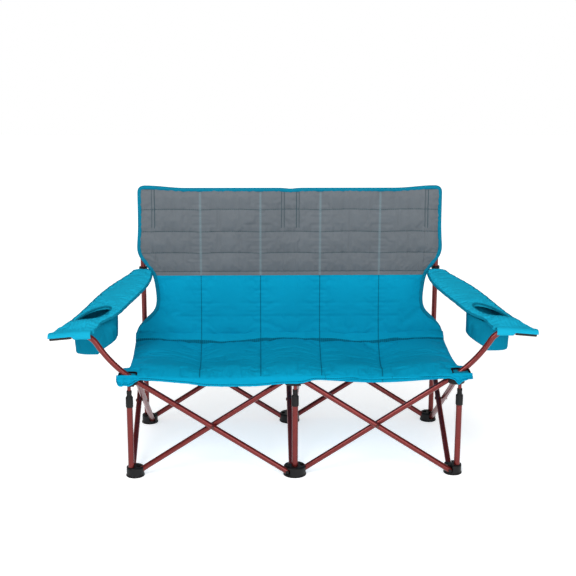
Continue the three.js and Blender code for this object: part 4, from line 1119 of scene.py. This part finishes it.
roll_inner, band_span, hem_seam = 0.0036, 0.4575, 0.006
outer, inner = band_layer(roll_outer), band_layer(roll_inner)
run = np.cumsum(np.linalg.norm(np.diff(outer, axis=0, prepend=outer[:1]), axis=-1), axis=0)
u_band = (outer[..., 0] + 0.008) / band_span
off_hem = np.abs((run[-1][None] - run) - hem_seam)
maps = {"cloth": np.stack([outer[..., 0], run], -1),
        "seams": np.stack([to_seam(u_band, column_edges) * band_span, off_hem], -1)}
band = layered("seat_band", (outer, inner), blue_quilt, maps, 60)
in_place_of("seat_front_band", band)
crumple_sideways(band)
print("band:", len(band.data.polygons), "faces")

# %% [markdown]
# ## Armrests
# Each armrest is a padded strip that wraps the level end of the arm tube, widens over the cup
# hole and narrows to a loop round the rear post. The cloth is open under the tube's black cap.

# %% Armrest sizes
arm_plan = np.array([[0, 0.5580, 0.6740], [0.07, 0.5440, 0.6625], [0.14, 0.5390, 0.6450],
                     [0.19, 0.5240, 0.6330], [0.25, 0.5060, 0.6200], [0.31, 0.4940, 0.6090],
                     [0.44, 0.4755, 0.5880], [0.56, 0.4575, 0.5700], [0.72, 0.4375, 0.5420],
                     [0.83, 0.4305, 0.5180], [0.93, 0.4305, 0.4960], [1, 0.4335, 0.4860]])
rise = 0.175
wrap_outer, wrap_inner = 0.0125, 0.0101
hole_centre, hole_turn, hole_half = (0.5660, 0.1230), math.radians(37), (0.0610, 0.0300)
end_gap = 0.0085                # the strip ends this far short of its post's axis
strip_above = 0.004             # middle of the strip above the tube's axis
pad_over, pad_under, armrest_swell = 0.0058, 0.0042, 0.0042
wrap_turn, open_turn = 214, 122   # degrees round the tube, and how many the open part lacks


def strip_level(back, s):
    """Middle of the strip: it climbs to the rear, and its outer side droops behind the tube."""
    droop = 0.007 * s ** 1.5 * smooth(back / 0.035) * (1 - smooth((back - 0.09) / 0.22))
    return arm_level + strip_above + rise * back - droop


def turned_oval(a, b):
    """Steps (out, back) of the armrest as steps (along, beside) the oval hole. It is a turn
    with a mirror in it, so doing it again leads back."""
    sine, cosine = math.sin(hole_turn), math.cos(hole_turn)
    return -sine * a + cosine * b, cosine * a + sine * b


def in_hole(out, back):
    """Distance from the hole's centre as a share of its oval, 1 on the rim, and its two parts."""
    along, beside = turned_oval(out - hole_centre[0], back - hole_centre[1])
    return np.hypot(along / hole_half[0], beside / hole_half[1]), along, beside


def strip_share(out, back, length):
    """Inner and outer edge of the strip at that place, and the share of the way across."""
    inner, outer = np.moveaxis(curve_through(arm_plan, back / length), -1, 0)
    return inner, outer, np.clip((out - inner) / (outer - inner), 0, 1)


def bunch(made):
    """The piece takes a copy of its mesh, so that the mesh is its own."""
    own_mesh(made)


def edge_swell(s):
    """Thickness across the strip: full in the middle, thin at the two bound edges."""
    return np.sin(math.pi * (0.07 + 0.86 * s)) ** 0.75


def lip_height(back, s):
    """The padding bulges behind the tube, where the front of the strip is stuffed fullest."""
    lip, lip_place, lip_reach = 0.0105, 0.046, 0.034
    bulge = lip * np.exp(-((back - lip_place) / lip_reach) ** 2)
    return bulge * edge_swell(s) * smooth((back - 0.002) / 0.03)


print("armrest plan:", len(arm_plan), "places along the strip")

# %% [markdown]
# The front rows of the strip go round the tube, and the others run back to the post. Faces in
# the cup hole are left out, and the points round it are pushed out onto its oval.

# %% Armrests
for side in (-1, 1):
    name = sides_of[side]
    y_tube = side * layer
    length = spacing - end_gap - y_tube
    s = np.linspace(0, 1, 29)
    wrap = np.linspace(1, 0, 14)[:-1]
    quarter = wrap_inner * np.sin(np.linspace(0, math.pi / 2, 7))
    rest = np.linspace(wrap_inner, length, 112)[1:]
    back = np.concatenate([0 * wrap, quarter, rest])
    inner_out = curve_through(arm_plan, back / length)
    out = inner_out[:, :1] + (inner_out[:, 1:] - inner_out[:, :1]) * s
    plane = strip_level(back[:, None], s[None])
    roll = wrap_outer - 0.0012 * s
    open_under = smooth((out[:len(wrap)] - 0.598) / 0.012)
    turn = wrap[:, None] * np.radians(wrap_turn - open_turn * open_under)
    settle = smooth((back - 0.004) / 0.03)[:, None]
    over = (roll - strip_above)[None] * (1 - settle) + pad_over * edge_swell(s)[None] * settle
    below = 0.0060 * (1 - settle) + pad_under * edge_swell(s)[None] * settle
    ring, along, beside = in_hole(out, back[:, None])
    high = 0.0034 * edge_swell(s)[None] * settle * smooth((length - back) / 0.05)[:, None]
    near_rim = smooth((ring - 1.0) / 0.5)
    ribs = 0.0010 * np.sin(out / 0.0019 + 5 * np.sin(back / 0.045)[:, None])
    ribs = ribs * smooth((0.12 - back) / 0.04)[:, None] * settle * near_rim * edge_swell(s)[None]
    ruck = pucker(back[:, None] + 0 * out, np.minimum(s, 1 - s)[None] * 0.1, 0.023, 0.0016, 0.02, 31 + side)
    ruck = ruck * settle
    start = high * near_rim * 0.3
    top_z = plane + over + start + ribs + lip_height(back[:, None], s[None]) + ruck * near_rim
    low_z = plane - below - 0.0015 * near_rim * edge_swell(s)[None] * settle
    low_z[len(wrap):len(wrap) + len(quarter)] = (arm_level + np.sqrt(
        np.maximum(wrap_inner ** 2 - quarter ** 2, 0)))[:, None]
    y_top = y_tube + back[:, None] + 0 * out
    y_low = y_top.copy()
    first = slice(0, len(wrap))
    y_top[first], top_z[first] = (y_tube - roll * np.sin(turn), arm_level + roll * np.cos(turn))
    y_low[first], low_z[first] = (y_tube - wrap_inner * np.sin(turn), arm_level + wrap_inner * np.cos(turn))
    hang = tip_droop(out) * (1 - 0.6 * smooth((back - 0.03) / 0.12))[:, None]
    upper = np.stack([side * out, y_top, top_z - hang], -1)
    lower = np.stack([side * out, y_low, low_z - hang], -1)
    held = np.zeros(out.shape, bool)
    held[:len(wrap) + 2] = held[-1] = held[:, 0] = held[:, -1] = True
    held |= ring < 1.1
    upper = inflated(upper, held, 4.0 * side, 0.03, armrest_swell)
    step_back = np.linalg.norm(np.diff(upper, axis=0, prepend=upper[:1]), axis=-1).cumsum(0)
    cloth = np.stack([out, step_back], -1)
    flat_place = grid_of(out, back[:, None])
    upper, lower, cloth, flat_place = finer(upper, lower, cloth, flat_place)
    ring, along, beside = in_hole(flat_place[..., 0], flat_place[..., 1])
    wrapped = np.arange(len(upper))[:, None] < 2 * len(wrap)
    inside = (ring < 1) & ~wrapped
    faces = grid_faces(*ring.shape)
    faces = faces[~inside.ravel()[faces].all(1)]
    pull = np.where(inside, 1 / np.maximum(ring, 0.2) - 1, 0)
    move_out, move_back = turned_oval(along, beside)
    move = np.stack([side * move_out * pull, move_back * pull, rise * (move_back * pull)], -1)
    # the pad takes the lighter copy of the blue cloth, which is painted light
    pad = layered(f"armrest_{name}_cloth", (upper + move, lower + move), lit_armrest_cloth,
                  {"cloth": cloth}, 65, faces)
    in_place_of(f"armrest_{name}", pad)
    bunch(pad)

    # bound edges along both sides, from behind the tube to the rear loop
    for label, column in (("inner", 0), ("outer", -1)):
        line = ((upper + lower) / 2)[2 * len(wrap) + 14:, column]
        edge = bound_edge(f"armrest_{name}_{label}_edge", line, 0.0034, 0.0036, (0, 0, 1), dark_tape_and_painted_shade,
                          f"armrest_{name}_pad", ripple=0.04, seed=50 + side + column)
        bunch(edge)

    # rim sewn round the cup hole, in the dark tape colour: partly its own, partly painted shade for the
    # hole's dark far edge
    angle = np.linspace(0, 2 * math.pi, 161)[:-1]
    rim_out, rim_back = turned_oval(1.02 * hole_half[0] * np.cos(angle),
                                    1.02 * hole_half[1] * np.sin(angle))
    rim_out, rim_back = rim_out + hole_centre[0], rim_back + hole_centre[1]
    share = strip_share(rim_out, rim_back, length)[2]
    rim_z = (strip_level(rim_back, share) + 0.0052 * edge_swell(share) - 0.4 * tip_droop(rim_out) - 0.0012
             + lip_height(rim_back, share))
    rim_line = np.stack([side * rim_out, y_tube + rim_back, rim_z], -1)
    ahead_on_rim = np.roll(rim_line, -1, 0) - np.roll(rim_line, 1, 0)
    ahead_on_rim /= np.linalg.norm(ahead_on_rim, axis=1, keepdims=True)
    upward = np.array([0, -rise, 1.0]) / math.hypot(1, rise)
    level_out = np.cross(ahead_on_rim, upward)
    around = np.linspace(0, 2 * math.pi, 16, endpoint=False)
    gather = 1 + 0.12 * np.sin(angle * 31) + 0.10 * np.sin(angle * 47 + 1)
    rim_half_width, rim_half_height = 0.0032, 0.0024
    form = (rim_line[:, None] + rim_half_width * np.cos(around)[None, :, None] * level_out[:, None]
            + rim_half_height * (gather[:, None] * np.sin(around)[None])[..., None] * upward)
    faces = grid_faces(len(angle) + 1, len(around), True) % form[..., 0].size
    cloth = grid_of((angle * 0.05)[:, None], (around * 0.005)[None])
    rim = piece(f"armrest_{name}_cup_rim", form, faces, dark_tape_and_painted_shade, {"cloth": cloth}, crease=70)
    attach(rim, f"armrest_{name}_pad")
    bunch(rim)
    print(f"armrest_{name}:", len(pad.data.polygons), "faces")

# %% [markdown]
# ## Cup pockets
# A soft bag is sewn under each cup hole. It hangs deepest on the outer side, its floor slants
# up towards the seat, and shallow folds run down its sides. It is a thin sheet, so its inner
# layer lies a little inside the outer one.

# %% Pockets
pocket_centre, pocket_half = (0.5630, 0.1420), (0.0610, 0.0540)
pocket_floor, pocket_mouth = 0.3325, 0.0075   # floor's height, and the mouth below the strip
pocket_sheet, mouth_lean = 0.0013, 0.009
for side in (-1, 1):
    name = sides_of[side]
    y_tube = side * layer
    length = spacing - end_gap - y_tube
    angle = np.linspace(0, 2 * math.pi, 120, endpoint=False)
    share = np.linspace(0, 1, 12)
    wall = np.stack([0.94 * share, 1 - 0.03 * share], -1)
    quarter = np.linspace(0, math.pi / 2, 7)[1:]
    edge = np.stack([0.94 + 0.06 * np.sin(quarter), 0.91 + 0.06 * np.cos(quarter)], -1)
    floor_ring = np.stack([np.ones(8), 0.91 * np.linspace(1, 0, 9)[1:]], -1)
    deep, wide = np.concatenate([wall, edge, floor_ring]).T
    folds = 0.022 * np.sin(6 * angle + side) + 0.016 * np.sin(11 * angle + 2) + 0.010 * np.sin(17 * angle)
    reach = wide[:, None] * (1 + folds[None] * (0.25 + 0.75 * np.sin(math.pi * deep)[:, None] ** 0.7))
    across, beyond = rounded(np.cos(angle), 0.62), rounded(np.sin(angle), 0.62)
    lean = mouth_lean * (1 - deep)[:, None]
    layers = []
    for inset in (0.0, pocket_sheet):
        out = pocket_centre[0] + (pocket_half[0] - inset) * reach * across[None]
        back = pocket_centre[1] - lean + (pocket_half[1] + lean - inset) * reach * beyond[None]
        inner, outer, _ = strip_share(out, back, length)
        free = smooth(deep / 0.45)[:, None]
        out = out * free + np.clip(out, inner + 0.004, outer - 0.005 - inset) * (1 - free)
        share_here = strip_share(out, back, length)[2]
        top_here = strip_level(back, share_here) - pocket_mouth
        slant = 0.012 * smooth((0.555 - out) / 0.012) + 0.62 * np.maximum(0.545 - out, 0)
        floor_here = pocket_floor + inset + slant
        z = top_here + (floor_here - top_here) * deep[:, None]
        layers.append(np.stack([side * out, y_tube + back, z], -1))
    run = np.linalg.norm(np.diff(layers[0], axis=0, prepend=layers[0][:1]), axis=-1).cumsum(0)
    cloth = grid_of(angle * 0.058, run)
    # the pocket takes the darker copy of the blue cloth, which is painted shade
    pocket = layered(f"cup_pocket_{name}_cloth", layers, shaded_pocket_cloth, {"cloth": cloth}, 70,
                     around=True)
    in_place_of(f"cup_pocket_{name}", pocket)
    bunch(pocket)
    print(f"cup_pocket_{name}:", len(pocket.data.polygons), "faces")

# %% [markdown]
# ## Loops round the rear posts
# Webbing holds the rear end of each armrest to its post, and a black clip sits above it.

# %% Loops and clips
loop_profile = [(0.0091, 0.4815), (0.0108, 0.4812), (0.0114, 0.4840), (0.0114, 0.4970), (0.0106, 0.5000),
                (0.0091, 0.4998), (0.0091, 0.4815)]
clip_profile = [(0.0091, 0.5006), (0.0124, 0.5006), (0.0130, 0.5014), (0.0130, 0.5092), (0.0122, 0.5102),
                (0.0091, 0.5102), (0.0091, 0.5006)]
loop_map = grid_of((np.arange(36) * 0.002)[None], (np.arange(7) * 0.004)[:, None])
for side in (-1, 1):
    for label, profile, finish, slot, maps, crease in (
            ("loop", loop_profile, dark_tape_and_painted_shade, "blue_cloth", {"cloth": loop_map}, 50),
            ("clip", clip_profile, black_moulding, "black_plastic", None, 35)):
        points = turned_points(profile, 36, (side * spacing, spacing))
        made = ringed(f"armrest_{sides_of[side]}_{label}", points, finish, maps, crease)
        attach(made, f"rear_{sides_of[side]}_post")
print("loops and clips placed")
